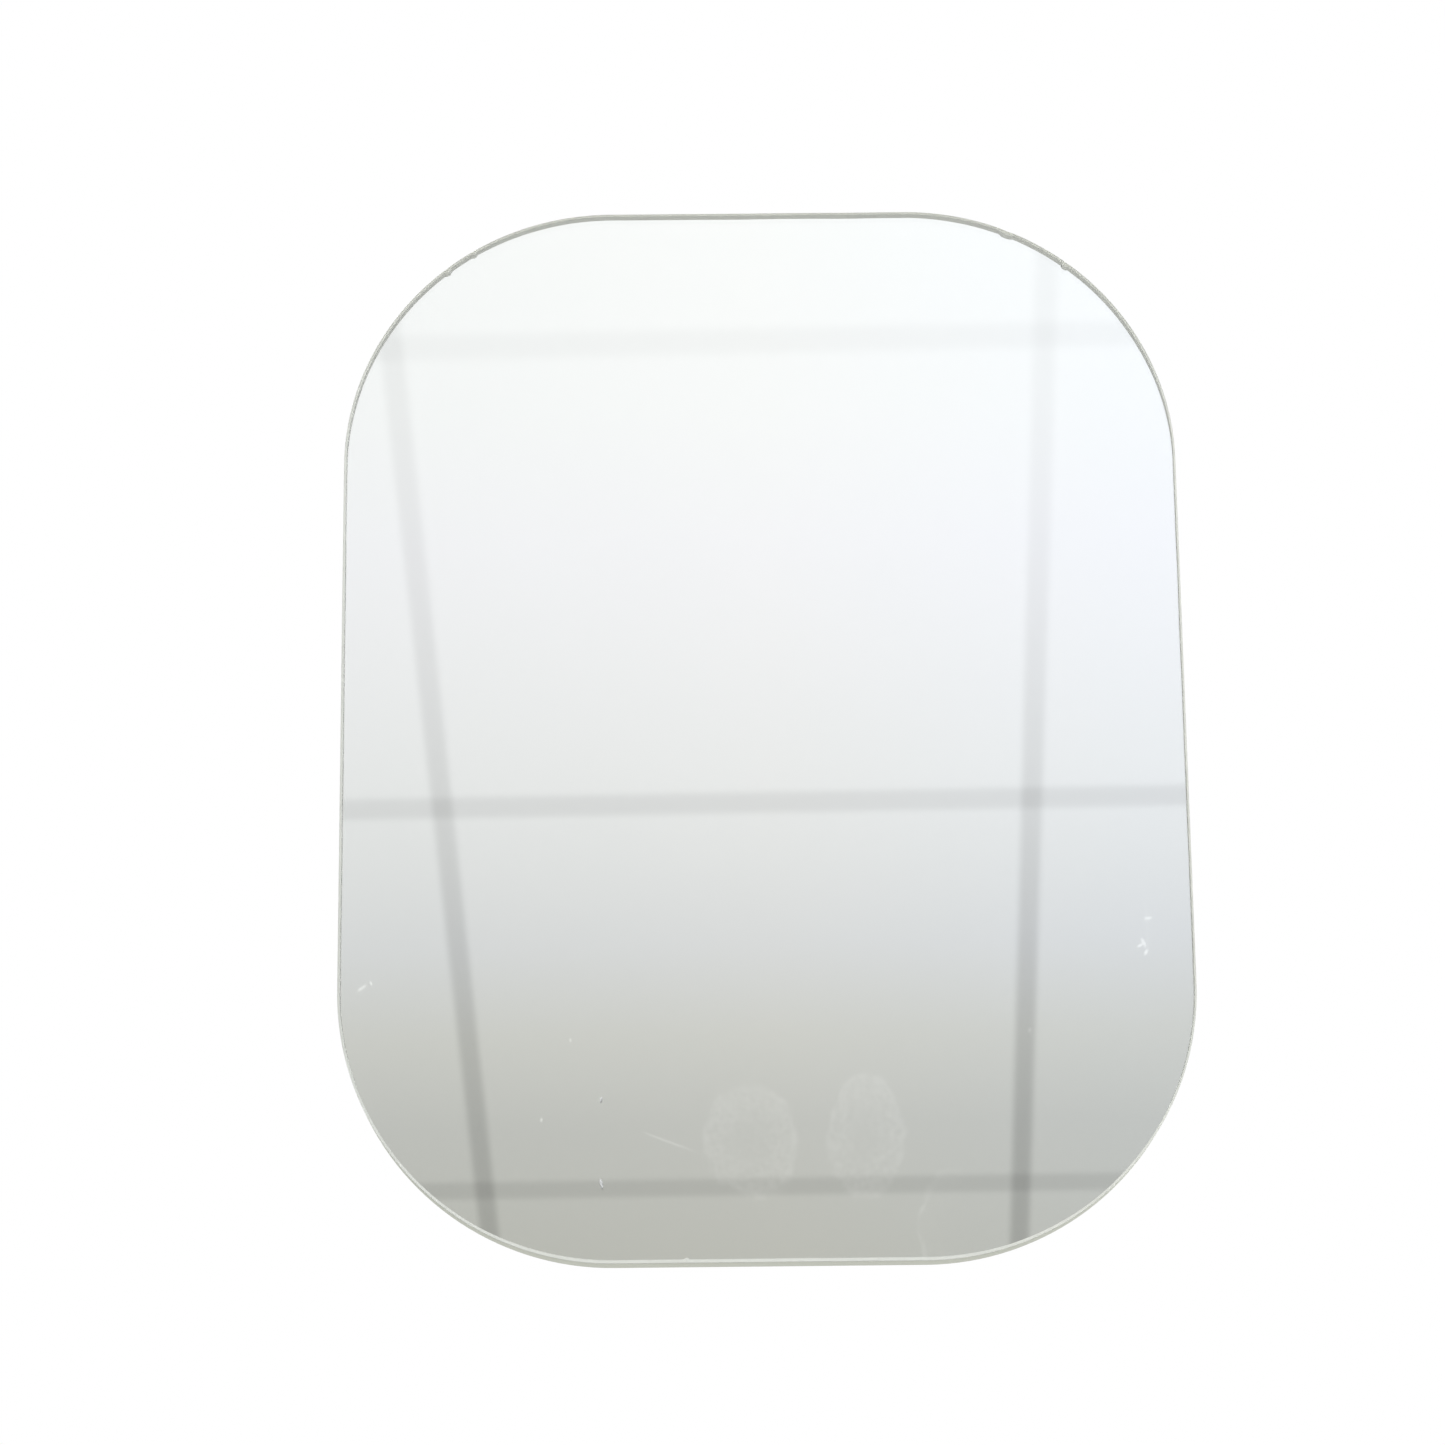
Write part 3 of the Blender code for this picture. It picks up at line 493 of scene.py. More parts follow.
def ground_look():
    """Edge of the glass as the wheel leaves it: pale, dull, slightly green."""
    look = Look("ground_glass", (0.88, 0.88, 0.785), 0.57)
    grinding = look.noise(420.0, 3.0, 0.6)
    look.set("Base Color", look.mix(look.noise(160.0, 3.0, 0.6), (0.85, 0.85, 0.755), (0.91, 0.91, 0.815)))
    look.set("Roughness", look.between(grinding, 0.2, 0.8, 0.53, 0.61))
    look.set("Transmission Weight", 0.74)
    look.set("IOR", 1.52)
    look.bump(grinding, 0.00004, 0.4)
    return look.material


def silver_look():
    look = Look("silver_coat", (0.95, 0.955, 0.945), 0.0, 1.0)
    veil = look.noise(40.0, 4.0, 0.6)
    look.set("Base Color", look.mix(veil, (0.947, 0.954, 0.943), (0.958, 0.961, 0.952)))
    return look.material


def backing_paint_look():
    look = Look("backing_paint", (0.19, 0.20, 0.20), 0.6)
    look.set("Base Color", look.mix(look.noise(300.0, 4.0), (0.15, 0.16, 0.16), (0.24, 0.25, 0.25)))
    look.bump(look.noise(1500.0, 2.0), 0.00004, 0.4)
    return look.material


def shell_look():
    """Grey-green moulded plastic with a fine spark-eroded grain."""
    look = Look("shell_plastic", (0.60, 0.605, 0.515), 0.5)
    grain = look.noise(2600.0, 2.0, 0.6)
    pits = look.cells(1900.0)
    cloud = look.noise(26.0, 5.0, 0.6, 0.6)
    speck = look.between(look.cells(700.0), 0.10, 0.04)
    base = look.mix(cloud, (0.585, 0.59, 0.50), (0.625, 0.63, 0.54))
    look.set("Base Color", look.mix(look.math("MULTIPLY", speck, 0.12), base, (0.34, 0.35, 0.31)))
    look.set("Roughness", look.between(grain, 0.25, 0.75, 0.42, 0.60))
    fine = look.bump(grain, 0.00006, 0.6)
    look.bump(pits, 0.00005, 0.5, fine)
    return look.material


def coated_steel_look():
    """Dark powder coat: orange peel, fine sparkle and rubbed edges."""
    look = Look("powder_coat", (0.07, 0.074, 0.08), 0.45)
    peel = look.noise(850.0, 2.0, 0.5)
    fine = look.noise(4200.0, 2.0, 0.6)
    worn = look.math("MULTIPLY", look.edges(0.0006), look.between(look.noise(240.0, 4.0, 0.65), 0.42, 0.62))
    dust = look.between(look.noise(90.0, 5.0, 0.62), 0.50, 0.80, 0.0, 0.22)
    base = look.mix(look.noise(55.0, 3.0), (0.066, 0.069, 0.074), (0.078, 0.081, 0.086))
    dusty = look.mix(dust, base, (0.16, 0.16, 0.155))
    look.set("Base Color", look.mix(look.math("MULTIPLY", worn, 0.55), dusty, (0.33, 0.33, 0.34)))
    look.set("Roughness", look.between(fine, 0.3, 0.7, 0.36, 0.52))
    over = look.bump(peel, 0.00012, 0.45)
    look.bump(fine, 0.00003, 0.35, over)
    return look.material


def zinc_look():
    """Bright zinc plate with a faint yellow and blue passivation."""
    look = Look("zinc_plate", (0.60, 0.61, 0.62), 0.34, 1.0)
    tint = look.noise(190.0, 3.0, 0.6, 0.8)
    warm = look.mix(tint, (0.55, 0.58, 0.63), (0.66, 0.64, 0.57))
    dull = look.between(look.noise(420.0, 4.0, 0.65), 0.45, 0.75)
    look.set("Base Color", look.mix(look.math("MULTIPLY", dull, 0.35), warm, (0.46, 0.46, 0.45)))
    look.set("Roughness", look.between(look.noise(900.0, 3.0), 0.25, 0.75, 0.26, 0.46))
    look.bump(look.noise(1700.0, 3.0, 0.6), 0.00004, 0.4)
    return look.material


def stainless_look():
    look = Look("stainless_steel", (0.62, 0.61, 0.60), 0.28, 1.0)
    drawn = look.noise(1.0, 3.0, 0.6, place=look.stretched((0.00012, 0.0022, 0.00012)))
    look.set("Base Color", look.mix(look.noise(350.0, 3.0), (0.57, 0.565, 0.555), (0.66, 0.655, 0.645)))
    look.set("Roughness", look.between(drawn, 0.25, 0.75, 0.20, 0.38))
    look.bump(drawn, 0.00002, 0.35)
    return look.material


def nylon_look():
    look = Look("nylon", (0.76, 0.74, 0.66), 0.48)
    look.set("Base Color", look.mix(look.noise(120.0, 4.0), (0.70, 0.68, 0.60), (0.80, 0.785, 0.71)))
    look.set("Roughness", look.between(look.noise(800.0, 3.0), 0.25, 0.75, 0.40, 0.58))
    look.set("Subsurface Weight", 0.15)
    look.set("Subsurface Scale", 0.001)
    look.bump(look.noise(2200.0, 3.0), 0.00003, 0.5)
    return look.material


def foam_look():
    look = Look("black_foam", (0.024, 0.024, 0.025), 0.9)
    cell = look.cells(1500.0, "SMOOTH_F1")
    wall = look.between(cell, 0.2, 0.7)
    look.set("Base Color", look.mix(wall, (0.014, 0.014, 0.015), (0.036, 0.036, 0.037)))
    look.bump(cell, 0.00025, 0.8)
    return look.material


def knob_look():
    """Black glass-filled nylon: lighter flecks painted in the colour as a fine sparkle (painted glint), and a
    slightly polished grip.
    """
    look = Look("knob_plastic", (0.026, 0.026, 0.028), 0.46)
    fibre = look.noise(1.0, 3.0, 0.6, place=look.stretched((0.0004, 0.0004, 0.0016)))
    # lighter flecks in the base colour: painted sparkle
    speck = look.between(look.cells(1600.0), 0.13, 0.05)
    base = look.mix(fibre, (0.020, 0.020, 0.022), (0.040, 0.040, 0.042))
    look.set("Base Color", look.mix(look.math("MULTIPLY", speck, 0.5), base, (0.075, 0.075, 0.078)))
    rubbed = look.edges(0.0010)
    look.set("Roughness", look.math("MULTIPLY_ADD", rubbed, -0.12, look.between(fibre, 0.3, 0.7, 0.42, 0.56)))
    look.bump(look.noise(2400.0, 3.0, 0.6), 0.00006, 0.6)
    return look.material


# ---- mirror head
CHIPS = (
    # x, z on the pane, half length round the rim, how far it bites into the face
    (-0.0756, 0.1143, 0.0011, 0.00046),
    (-0.0691, 0.1187, 0.0009, 0.00038),
    (0.0611, 0.1228, 0.0019, 0.00046),
    (0.0753, 0.1145, 0.0010, 0.00048),
    (-0.0193, -0.1280, 0.0009, 0.00040),
)


def chip_bite(point):
    bite = 0.0
    for x, z, half, depth in CHIPS:
        away = (point - Vector((x, z))).length / half
        if away < 1.6:
            ragged = 0.18 * noise.noise(Vector((point.x, 7.0, point.y)) * 1900)
            bite = max(bite, depth * max(0.0, 1 - (away + ragged) ** 2))
    return bite


def arris_width(way):
    """Width of the chamfer where the rim faces that way."""
    angle = math.degrees(math.atan2(way.y, way.x)) % 360
    for (first, start), (last, end) in zip(ARRIS, ARRIS[1:]):
        if angle <= last:
            share = (angle - first) / (last - first)
            return start + (end - start) * (0.5 - 0.5 * math.cos(math.pi * share))
    return ARRIS[-1][1]


def rim_points():
    """Points round the pane, closer together where the rim is chipped."""
    coarse = pane_points(OUTLINE_PITCH)
    fine = pane_points(CHIP_PITCH)

    def near_chip(point):
        return any((point - Vector((x, z))).length < half * 1.8 + 0.0012 for x, z, half, _ in CHIPS)

    chosen = []
    ratio = len(fine) / len(coarse)
    for i, entry in enumerate(coarse):
        chosen.append(entry)
        if near_chip(entry[0]):
            first, last = math.ceil(i * ratio + 0.5), math.floor((i + 1) * ratio - 0.5)
            chosen += fine[first:last + 1]
    return chosen


def build_pane(looks):
    """The glass with its ground edge, and the silver behind it with paint on its back."""
    shape = bmesh.new()
    rings = [[] for _ in range(7)]
    for point, way in rim_points():
        at = Vector((point.x, 0.0, point.y))
        wave = noise.noise(at * 70) * 0.7 + noise.noise(at * 240) * 0.2
        width = arris_width(way) + ARRIS_WAVE * wave
        bite = chip_bite(point)
        face_in = width + bite
        places = (
            (BACK_ARRIS + FLAT_MARGIN, PANE_BACK),
            (BACK_ARRIS, PANE_BACK),
            (0.0, PANE_BACK + BACK_ARRIS),
            (0.0, PANE_FRONT - width - bite * 0.5),
            (width * 0.5 + bite * 0.35, PANE_FRONT - width * 0.5 - bite * 0.55),
            (face_in, PANE_FRONT),
            (face_in + FLAT_MARGIN, PANE_FRONT),
        )
        for ring, (inset, forward) in zip(rings, places):
            flat = point - way * inset
            ring.append(shape.verts.new((flat.x, flat.y, forward)))
    tube(shape, rings)
    shape.faces.ensure_lookup_table()
    count = len(rings[0])
    for face in shape.faces[count:5 * count]:       # the ground edge, between the two polished faces
        face.material_index = 1
    mesh = finished("pane_glass", shape, LOOK, math.radians(12))
    add_piece("pane_glass", mesh, [looks["glass"], looks["ground"]], "head", "silvered_glass",
              "mirror_glass")

    coat_back = -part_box("silver_backing")[1].y
    outline = [point - way * (BACK_ARRIS + SILVER_INSET) for point, way in pane_points(OUTLINE_PITCH)]
    coat = skin("pane_silver", [(outline, coat_back), (outline, PANE_BACK - SILVER_GAP)], LOOK)
    piece = add_piece("pane_silver", coat, [looks["paint"], looks["silver"]], "head", "silver_coat",
                      "silver_backing")
    for face in piece.data.polygons:
        if face.normal.y < -0.9:
            face.material_index = 1


def build_shell(looks):
    """Moulded back: a rounded skirt, a shallow sloped dome, a ledge for the seal and lands for the tapes."""
    low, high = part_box("rear_shell")
    back, rim = -high.y, -low.y
    floor_front = back + SHELL_FLOOR
    border = back + SHELL_DOME
    outline_at = plate_at(PANE_WIDTH, PANE_HEIGHT, PANE_CORNER, 40)
    ledge = -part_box("edge_seal")[1].y - TAPE_CLEARANCE
    easing = 0.0004
    sections = [(outline_at(SHELL_SLOPE), floor_front), (outline_at(LEDGE_END), border + SHELL_FLOOR),
                (outline_at(LEDGE_END), ledge), (outline_at(SHELL_WALL), ledge),
                (outline_at(SHELL_WALL), rim), (outline_at(easing), rim),
                (outline_at(0.3 * easing), rim - 0.3 * easing), (outline_at(0.0), rim - easing)]
    for step in range(9):
        angle = math.radians(90) * step / 8
        sections.append((outline_at(SHELL_ROUND * (1 - math.cos(angle))),
                         border + SHELL_ROUND * (1 - math.sin(angle))))
    for share in (0.25, 0.5, 0.75, 0.9, 1.0):
        ease = math.sin(math.radians(90) * share)
        inset = SHELL_ROUND + (SHELL_SLOPE - SHELL_ROUND) * share
        sections.append((outline_at(inset), border - SHELL_DOME * (0.5 * ease + 0.5 * share)))

    changes = []
    tape_low, tape_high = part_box("tape_strip_right")
    land_front = -tape_high.y - TAPE_CLEARANCE
    land_width = tape_high.x - tape_low.x + 2 * LAND_MARGIN
    land_length = tape_high.z - tape_low.z + 2 * LAND_MARGIN
    land = rounded_rectangle(land_width, land_length, LAND_WALL, 6)
    land_sections = [(land, floor_front - SHELL_FLOOR / 2), (land, land_front)]
    pocket_length = (land_length - LAND_WALL * (POCKETS + 1)) / POCKETS

    def pocket_at(grow):
        return rounded_rectangle(land_width - 2 * LAND_WALL + 2 * grow, pocket_length + 2 * grow,
                                 LAND_WALL + grow, 6)

    pocket_end = land_front - LAND_WALL
    pocket = [(pocket_at(0.0012), back - 0.0010), (pocket_at(0.0), back + 0.0006),
              (pocket_at(-0.0003), pocket_end - 0.0003), (pocket_at(-0.0006), pocket_end)]
    for side in (-1, 1):
        middle = Matrix.Translation((side * (tape_low.x + tape_high.x) / 2, 0, 0))
        changes.append(("UNION", skin("land", land_sections, middle)))
        for number in range(POCKETS):
            along = (number - (POCKETS - 1) / 2) * (pocket_length + LAND_WALL)
            place = middle @ Matrix.Translation((0, along, 0))
            changes.append(("DIFFERENCE", skin("pocket", pocket, place)))
    changes += screw_holes(back, floor_front)
    start = back + 0.0006
    weep = [(circle(0.0026, 36), start), (circle(WEEP_RADIUS, 36), start + 0.0008),
            (circle(WEEP_RADIUS, 36), floor_front + 0.006)]
    for side in (-1, 1):
        place = Matrix.Translation((side * WEEP_X, WEEP_HEIGHT - PANE_HEIGHT / 2, 0))
        changes.append(("DIFFERENCE", skin("weep", weep, place)))
    mesh = combined("shell_moulding", skin("shell_moulding", sections), changes)
    mesh.transform(LOOK)
    add_piece("shell_moulding", mesh, looks["shell"], "head", "shell_plastic", "rear_shell")


def screw_holes(start, end):
    """Cuts for the four bracket screws through a wall from start to end."""
    hole = flared(round_at(SCREW_HOLE, 36), start, end)
    for number in range(1, 5):
        low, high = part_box(f"bracket_screw_{number}")
        middle = (low + high) / 2
        yield "DIFFERENCE", skin("hole", hole, Matrix.Translation((middle.x, middle.z, 0)))


def add_ears(changes, beads, place_at, reach, foot_at):
    """A pair of bored ears, reach from the bolt to their plate, with a weld bead along each face."""
    ear = eased(lambda i: ear_outline(EAR_RADIUS - i, reach), -STEEL / 2, STEEL / 2)
    bore = flared(round_at(BOLT_HOLE), -STEEL / 2, STEEL / 2)
    bead_half = EAR_RADIUS - 0.0012
    for side in (-1, 1):
        middle = side * (EAR_INNER + STEEL / 2)
        changes.append(("UNION", skin("ear", ear, place_at(middle))))
        changes.append(("DIFFERENCE", skin("bore", bore, place_at(middle))))
        for face in (-1, 1):
            across = middle + face * (STEEL / 2 + BEAD_GAP)
            path = line_points(foot_at(across, -bead_half), foot_at(across, bead_half))
            beads.append(weld_bead("bead", path))


def build_bracket(looks):
    low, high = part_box("tilt_bracket")
    front, back = -low.y, -low.y - STEEL
    width, height = high.x - low.x, high.z - low.z
    bolt_low, bolt_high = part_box("tilt_bolt")
    axis_forward = -(bolt_low.y + bolt_high.y) / 2
    base = skin("base", eased(plate_at(width, height, BRACKET_CORNER, 12), back, front))
    changes, beads = [], []
    add_ears(changes, beads, lambda middle: Matrix.Translation((middle, 0, axis_forward)) @ LEVEL,
             back + STEEL / 2 - axis_forward, lambda across, along: (across, along, back - BEAD_GAP))
    changes += screw_holes(back, front)
    mesh = joined("tilt_bracket_welded", [combined("tilt_bracket_welded", base, changes)] + beads)
    mesh.transform(LOOK)
    add_piece("tilt_bracket_welded", mesh, looks["steel"], "head", "coated_steel", "tilt_bracket")


def ear_outline(radius, reach, half_steps=18):
    """Round about the bolt, straight to its plate, which lies towards local -X at that reach."""
    points = [(-reach, -radius)]
    for i in range(half_steps + 1):
        angle = math.radians(180) * i / half_steps - math.radians(90)
        points.append((radius * math.cos(angle), radius * math.sin(angle)))
    points.append((-reach, radius))
    return points


def build_bracket_fasteners(looks):
    for number in range(1, 5):
        add_washer(f"screw_washer_{number}", f"bracket_washer_{number}", "Y", SCREW_HOLE,
                   looks["zinc"], "head", "zinc_plate")
        node = f"bracket_screw_{number}"
        screw = screw_mesh("button_screw", *turned_place(node, "Y"), math.radians(17 * number))
        add_piece(f"button_screw_{number}", screw, looks["stainless"], "head", "stainless_steel", node)


# ---- turned pieces
def turned_place(node, axis):
    """Where a turned CAD node is: a frame whose Z is its axis, its start, its end and its radius."""
    low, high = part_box(node)
    middle = (low + high) / 2
    if axis == "X":
        return Matrix.Translation((0, middle.y, middle.z)) @ LEVEL, low.x, high.x, (high.y - low.y) / 2
    if axis == "Y":
        return Matrix.Translation((middle.x, 0, middle.z)) @ LOOK, -high.y, -low.y, (high.x - low.x) / 2
    return Matrix.Translation((middle.x, middle.y, 0)), low.z, high.z, (high.x - low.x) / 2


def washer_mesh(name, place, start, end, outer, bore, edge=0.00022):
    rounds = []
    for radius, side in ((bore, 1), (outer, -1)):
        rounds.append([(radius, start + edge), (radius + side * 0.3 * edge, start + 0.3 * edge),
                       (radius + side * edge, start)])
    (b0, b1, b2), (o0, o1, o2) = rounds
    low_half = [b0, b1, b2, o2, o1, o0]
    high_half = [(radius, start + end - height) for radius, height in reversed(low_half)]
    sections = [(circle(radius), height) for radius, height in low_half + high_half]
    return skin(name, sections, place, ends=False)


def add_washer(name, node, axis, bore, look, holder, slot):
    place, start, end, radius = turned_place(node, axis)
    add_piece(name, washer_mesh(name, place, start, end, radius, bore), look, holder, slot, node)


def screw_mesh(name, place, start, end, radius, turn):
    """Button head with a hexagon socket; start is the top of the head."""
    head_height = 0.0030
    shank = 0.0025
    socket = 0.0030
    depth = 0.0018
    pitch = 0.0008
    crown = 0.60 * radius
    head_end = start + head_height

    def disc(reach):
        return circle(reach, SCREW_STEPS)

    sections = [(disc(0.0004), start + depth + 0.0006), (hexagon(socket, SCREW_STEPS), start + depth),
                (hexagon(socket, SCREW_STEPS), start + 0.0003),
                (hexagon(socket + 0.0003, SCREW_STEPS), start + 0.00008), (disc(0.0020), start)]
    for i in range(1, 9):
        angle = math.radians(90) * i / 8
        sections.append((disc(crown + (radius - crown) * math.sin(angle)),
                         start + (head_height - 0.0007) * (1 - math.cos(angle))))
    sections += [(disc(radius), head_end - 0.0002), (disc(radius - 0.0002), head_end),
                 (disc(shank), head_end)]
    thread = head_end + 0.004
    while thread < end - 0.0008:
        sections += [(disc(shank), thread), (disc(shank - 0.00035), thread + pitch / 2)]
        thread += pitch
    sections += [(disc(shank), end - 0.0006), (disc(shank - 0.0006), end)]
    return skin(name, sections, place @ Matrix.Rotation(turn, 4, "Z"))


def spring_mesh(name, place, start, end, outer, bore, thickness=0.0016):
    """Split lock washer: a square section wound just short of a turn."""
    shape = bmesh.new()
    opening = math.radians(9)
    rise = end - start - thickness
    steps = 90
    edge = 0.00018
    rings = []
    for i in range(steps + 1):
        angle = opening / 2 + (2 * math.pi - opening) * i / steps
        low = start + rise * i / steps
        high = low + thickness
        corners = ((bore, low + edge), (bore + edge, low), (outer - edge, low), (outer, low + edge),
                   (outer, high - edge), (outer - edge, high), (bore + edge, high), (bore, high - edge))
        rings.append([shape.verts.new((r * math.cos(angle), r * math.sin(angle), z)) for r, z in corners])
    tube(shape, rings)
    return finished(name, shape, place)


def bolt_mesh(name, place, start, end, flats=0.0130, head_height=0.0053, radius=0.0040):
    """Hexagon head with its turned chamfer and a shallow dish; start is the top of the head."""
    flat_half = flats / 2
    chamfer = 0.95 * flat_half
    head = hexagon(flats, BOLT_STEPS)
    lean = math.tan(math.radians(30))
    head_back = start + head_height
    boss_back = head_back - 0.0004
    pitch = 0.00125

    def disc(reach):
        return circle(reach, BOLT_STEPS)

    sections = [(disc(flat_half * 0.55), start + 0.00045), (disc(flat_half * 0.66), start + 0.00012),
                (disc(flat_half * 0.72), start), (disc(chamfer), start),
                (head, lambda x, y: start + (math.hypot(x, y) - chamfer) * lean), (head, boss_back),
                (disc(flat_half - 0.0002), boss_back), (disc(flat_half - 0.0002), head_back),
                (disc(radius), head_back)]
    thread = end - 0.0100
    sections.append((disc(radius), thread))
    while thread < end - 2 * pitch:
        sections += [(disc(radius - 0.0006), thread + pitch * 0.5), (disc(radius), thread + pitch)]
        thread += pitch
    sections += [(disc(radius), end - 0.0008), (disc(radius - 0.0008), end)]
    return skin(name, sections, place)


def knob_mesh(name, place, start, end, radius):
    """Five rounded lobes on a hub, a ring round the top and a cap in its middle."""
    lobes = 5
    lobe_depth = 0.0026
    hub = 0.0105
    height = end - start

    def star(reach, depth):
        points = []
        for i in range(LOBE_STEPS):
            angle = 2 * math.pi * i / LOBE_STEPS
            swell = 0.5 - 0.5 * math.cos(lobes * angle)
            far = reach - depth * swell
            points.append((far * math.cos(angle), far * math.sin(angle)))
        return points

    def disc(reach):
        return circle(reach, LOBE_STEPS)

    skirt = 0.0050
    sections = [(disc(hub - 0.0006), start), (disc(hub), start + 0.0006), (disc(hub), start + skirt - 0.0006),
                (disc(hub + 0.0006), start + skirt)]
    for share in (0.0, 0.25, 0.5, 0.75, 1.0):
        angle = math.radians(90) * share
        sections.append((star(radius - 0.0030 * (1 - math.sin(angle)), lobe_depth),
                         start + skirt + 0.0030 * (1 - math.cos(angle))))
    sections.append((star(radius, lobe_depth), start + height * 0.62))
    for share in (0.2, 0.4, 0.6, 0.8, 1.0):
        angle = math.radians(90) * share
        sections.append((star(radius - 0.0050 * (1 - math.cos(angle)), lobe_depth * (1 - 0.3 * share)),
                         start + height * 0.62 + (height * 0.36) * math.sin(angle)))
    top = sections[-1][1]
    sections += [(disc(0.0092), top + 0.0001), (disc(0.0088), top - 0.0004), (disc(0.0080), top - 0.0004),
                 (disc(0.0077), top), (disc(0.0050), end - 0.00006), (disc(0.0010), end)]
    return skin(name, sections, place, smooth_angle=math.radians(40))


def build_clamp(label, axis, looks, holder):
    """What is on a hinge bolt: two nylon washers, a plain and a lock washer, the bolt itself and its knob."""
    for side in ("a", "b"):
        add_washer(f"{label}_nylon_washer_{side}", f"{label}_friction_washer_{side}", axis, BOLT_HOLE,
                   looks["nylon"], holder, "nylon")
    add_washer(f"{label}_plain_washer", f"{label}_flat_washer", axis, BOLT_HOLE,
               looks["zinc"], holder, "zinc_plate")
    centre, bolt_start, bolt_end, _ = turned_place(f"{label}_bolt", axis)
    bolt = bolt_mesh("hex_bolt", centre, bolt_start, bolt_end)
    add_piece(f"{label}_hex_bolt", bolt, looks["zinc"], holder, "zinc_plate", f"{label}_bolt")
    _, start, end, _ = turned_place(f"{label}_spring_washer", axis)
    spring = spring_mesh("lock_washer", centre, start, end, SPRING_RADIUS, BOLT_HOLE)
    add_piece(f"{label}_lock_washer", spring, looks["zinc"], holder, "zinc_plate", f"{label}_spring_washer")

    _, start, end, _ = turned_place(f"{label}_knob", axis)
    solid = knob_mesh("hand_knob", Matrix.Identity(4), start, end, KNOB_RADIUS)
    pocket = skin("pocket", [(hexagon(NUT_POCKET + 0.0008, SCREW_STEPS), start - 0.0010),
                             (hexagon(NUT_POCKET, SCREW_STEPS), start + 0.0003),
                             (hexagon(NUT_POCKET, SCREW_STEPS), start + NUT_POCKET_DEPTH)])
    bore = skin("bore", [(circle(BOLT_HOLE), start), (circle(BOLT_HOLE), start + KNOB_BORE_DEPTH)])
    mesh = combined("hand_knob", solid, [("DIFFERENCE", pocket), ("DIFFERENCE", bore)], math.radians(40))
    mesh.transform(centre)
    add_piece(f"{label}_hand_knob", mesh, looks["knob"], f"{label}_clamp", "knob_plastic", f"{label}_knob")


# ---- arm and wall plate
def build_arm(looks):
    """A bar between two bored eyes, welded all round at each end."""
    pan = turned_place("pan_bolt", "Z")[0]
    tilt = turned_place("tilt_bolt", "X")[0]
    outline = rounded_rectangle(BAR_WIDTH, BAR_HEIGHT, BAR_CORNER, 8)
    bar = skin("bar", [(outline, -pan.translation.y), (outline, -tilt.translation.y)], LOOK)
    eye = eased(lambda i: circle(EYE_RADIUS - i), -EYE_HALF, EYE_HALF, 0.0008, 4)
    bore = flared(round_at(BOLT_HOLE), -EYE_HALF, EYE_HALF)
    changes = [("UNION", skin("eye", eye, place)) for place in (pan, tilt)]
    changes += [("DIFFERENCE", skin("bore", bore, place)) for place in (pan, tilt)]
    beads = []
    loop = rounded_rectangle(BAR_WIDTH + 2 * BEAD_GAP, BAR_HEIGHT + 2 * BEAD_GAP, BAR_CORNER + BEAD_GAP, 14)
    for number, (y_eye, way) in enumerate(((pan.translation.y, -1), (tilt.translation.y, 1))):
        fine = []
        for (x, z), (next_x, next_z) in zip(loop, loop[1:] + loop[:1]):
            parts = max(1, round(math.hypot(next_x - x, next_z - z) / 0.0003))
            for k in range(parts):
                bar_x, bar_z = x + (next_x - x) * k / parts, z + (next_z - z) * k / parts
                level = bar_x if number == 0 else bar_z
                reach = math.sqrt(max(0.0, (EYE_RADIUS + 0.0002) ** 2 - level ** 2))
                fine.append(Vector((bar_x, y_eye + way * reach, bar_z)))
        beads.append(weld_bead("bead", fine, 0.0012, closed=True))
    mesh = joined("swivel_arm_welded", [combined("swivel_arm_welded", bar, changes)] + beads)
    add_piece("swivel_arm_welded", mesh, looks["steel"], "arm", "coated_steel", "swivel_arm")


def build_wall_plate(looks):
    low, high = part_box("wall_plate")
    width, height = high.x - low.x, high.z - low.z
    pan = turned_place("pan_bolt", "Z")[0]
    plate = skin("plate", eased(plate_at(width, height, PLATE_CORNER, 14), 0.0, STEEL), LOOK)
    turn_ear = Matrix.Rotation(math.radians(-90), 4, "Z")
    changes, beads = [], []
    add_ears(changes, beads, lambda middle: pan @ Matrix.Translation((0, 0, middle)) @ turn_ear,
             -pan.translation.y - STEEL / 2, lambda across, along: (along, -STEEL - BEAD_GAP, across))

    def cut_slot(across, along, x, z):
        sections = flared(lambda grow: rounded_rectangle(across + 2 * grow, along + 2 * grow,
                                                         (across / 2 + grow) * 0.98, 10), 0.0, STEEL)
        changes.append(("DIFFERENCE", skin("slot", sections, LOOK @ Matrix.Translation((x, z, 0)))))

    for side_x in (-1, 1):
        for side_z in (-1, 1):
            cut_slot(*FIXING_SLOT, side_x * FIXING_X, side_z * FIXING_Z)
        cut_slot(*STRAP_SLOT, side_x * STRAP_X, 0)
    mesh = joined("wall_plate_welded", [combined("wall_plate_welded", plate, changes)] + beads)
    add_piece("wall_plate_welded", mesh, looks["steel"], "wall_mount", "coated_steel", "wall_plate")


def finish_carried_nodes(looks):
    """CAD nodes whose shape is right keep it, and get the finer material."""
    carried = {"edge_seal": "foam", "tape_strip_left": "foam", "tape_strip_right": "foam",
               "reinforcing_plate": "zinc", "pan_knob_nut": "zinc", "tilt_knob_nut": "zinc"}
    carried.update({f"bracket_nut_{number}": "zinc" for number in range(1, 5)})
    for name, look in carried.items():
        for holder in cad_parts[name].material_slots:
            holder.material = looks[look]


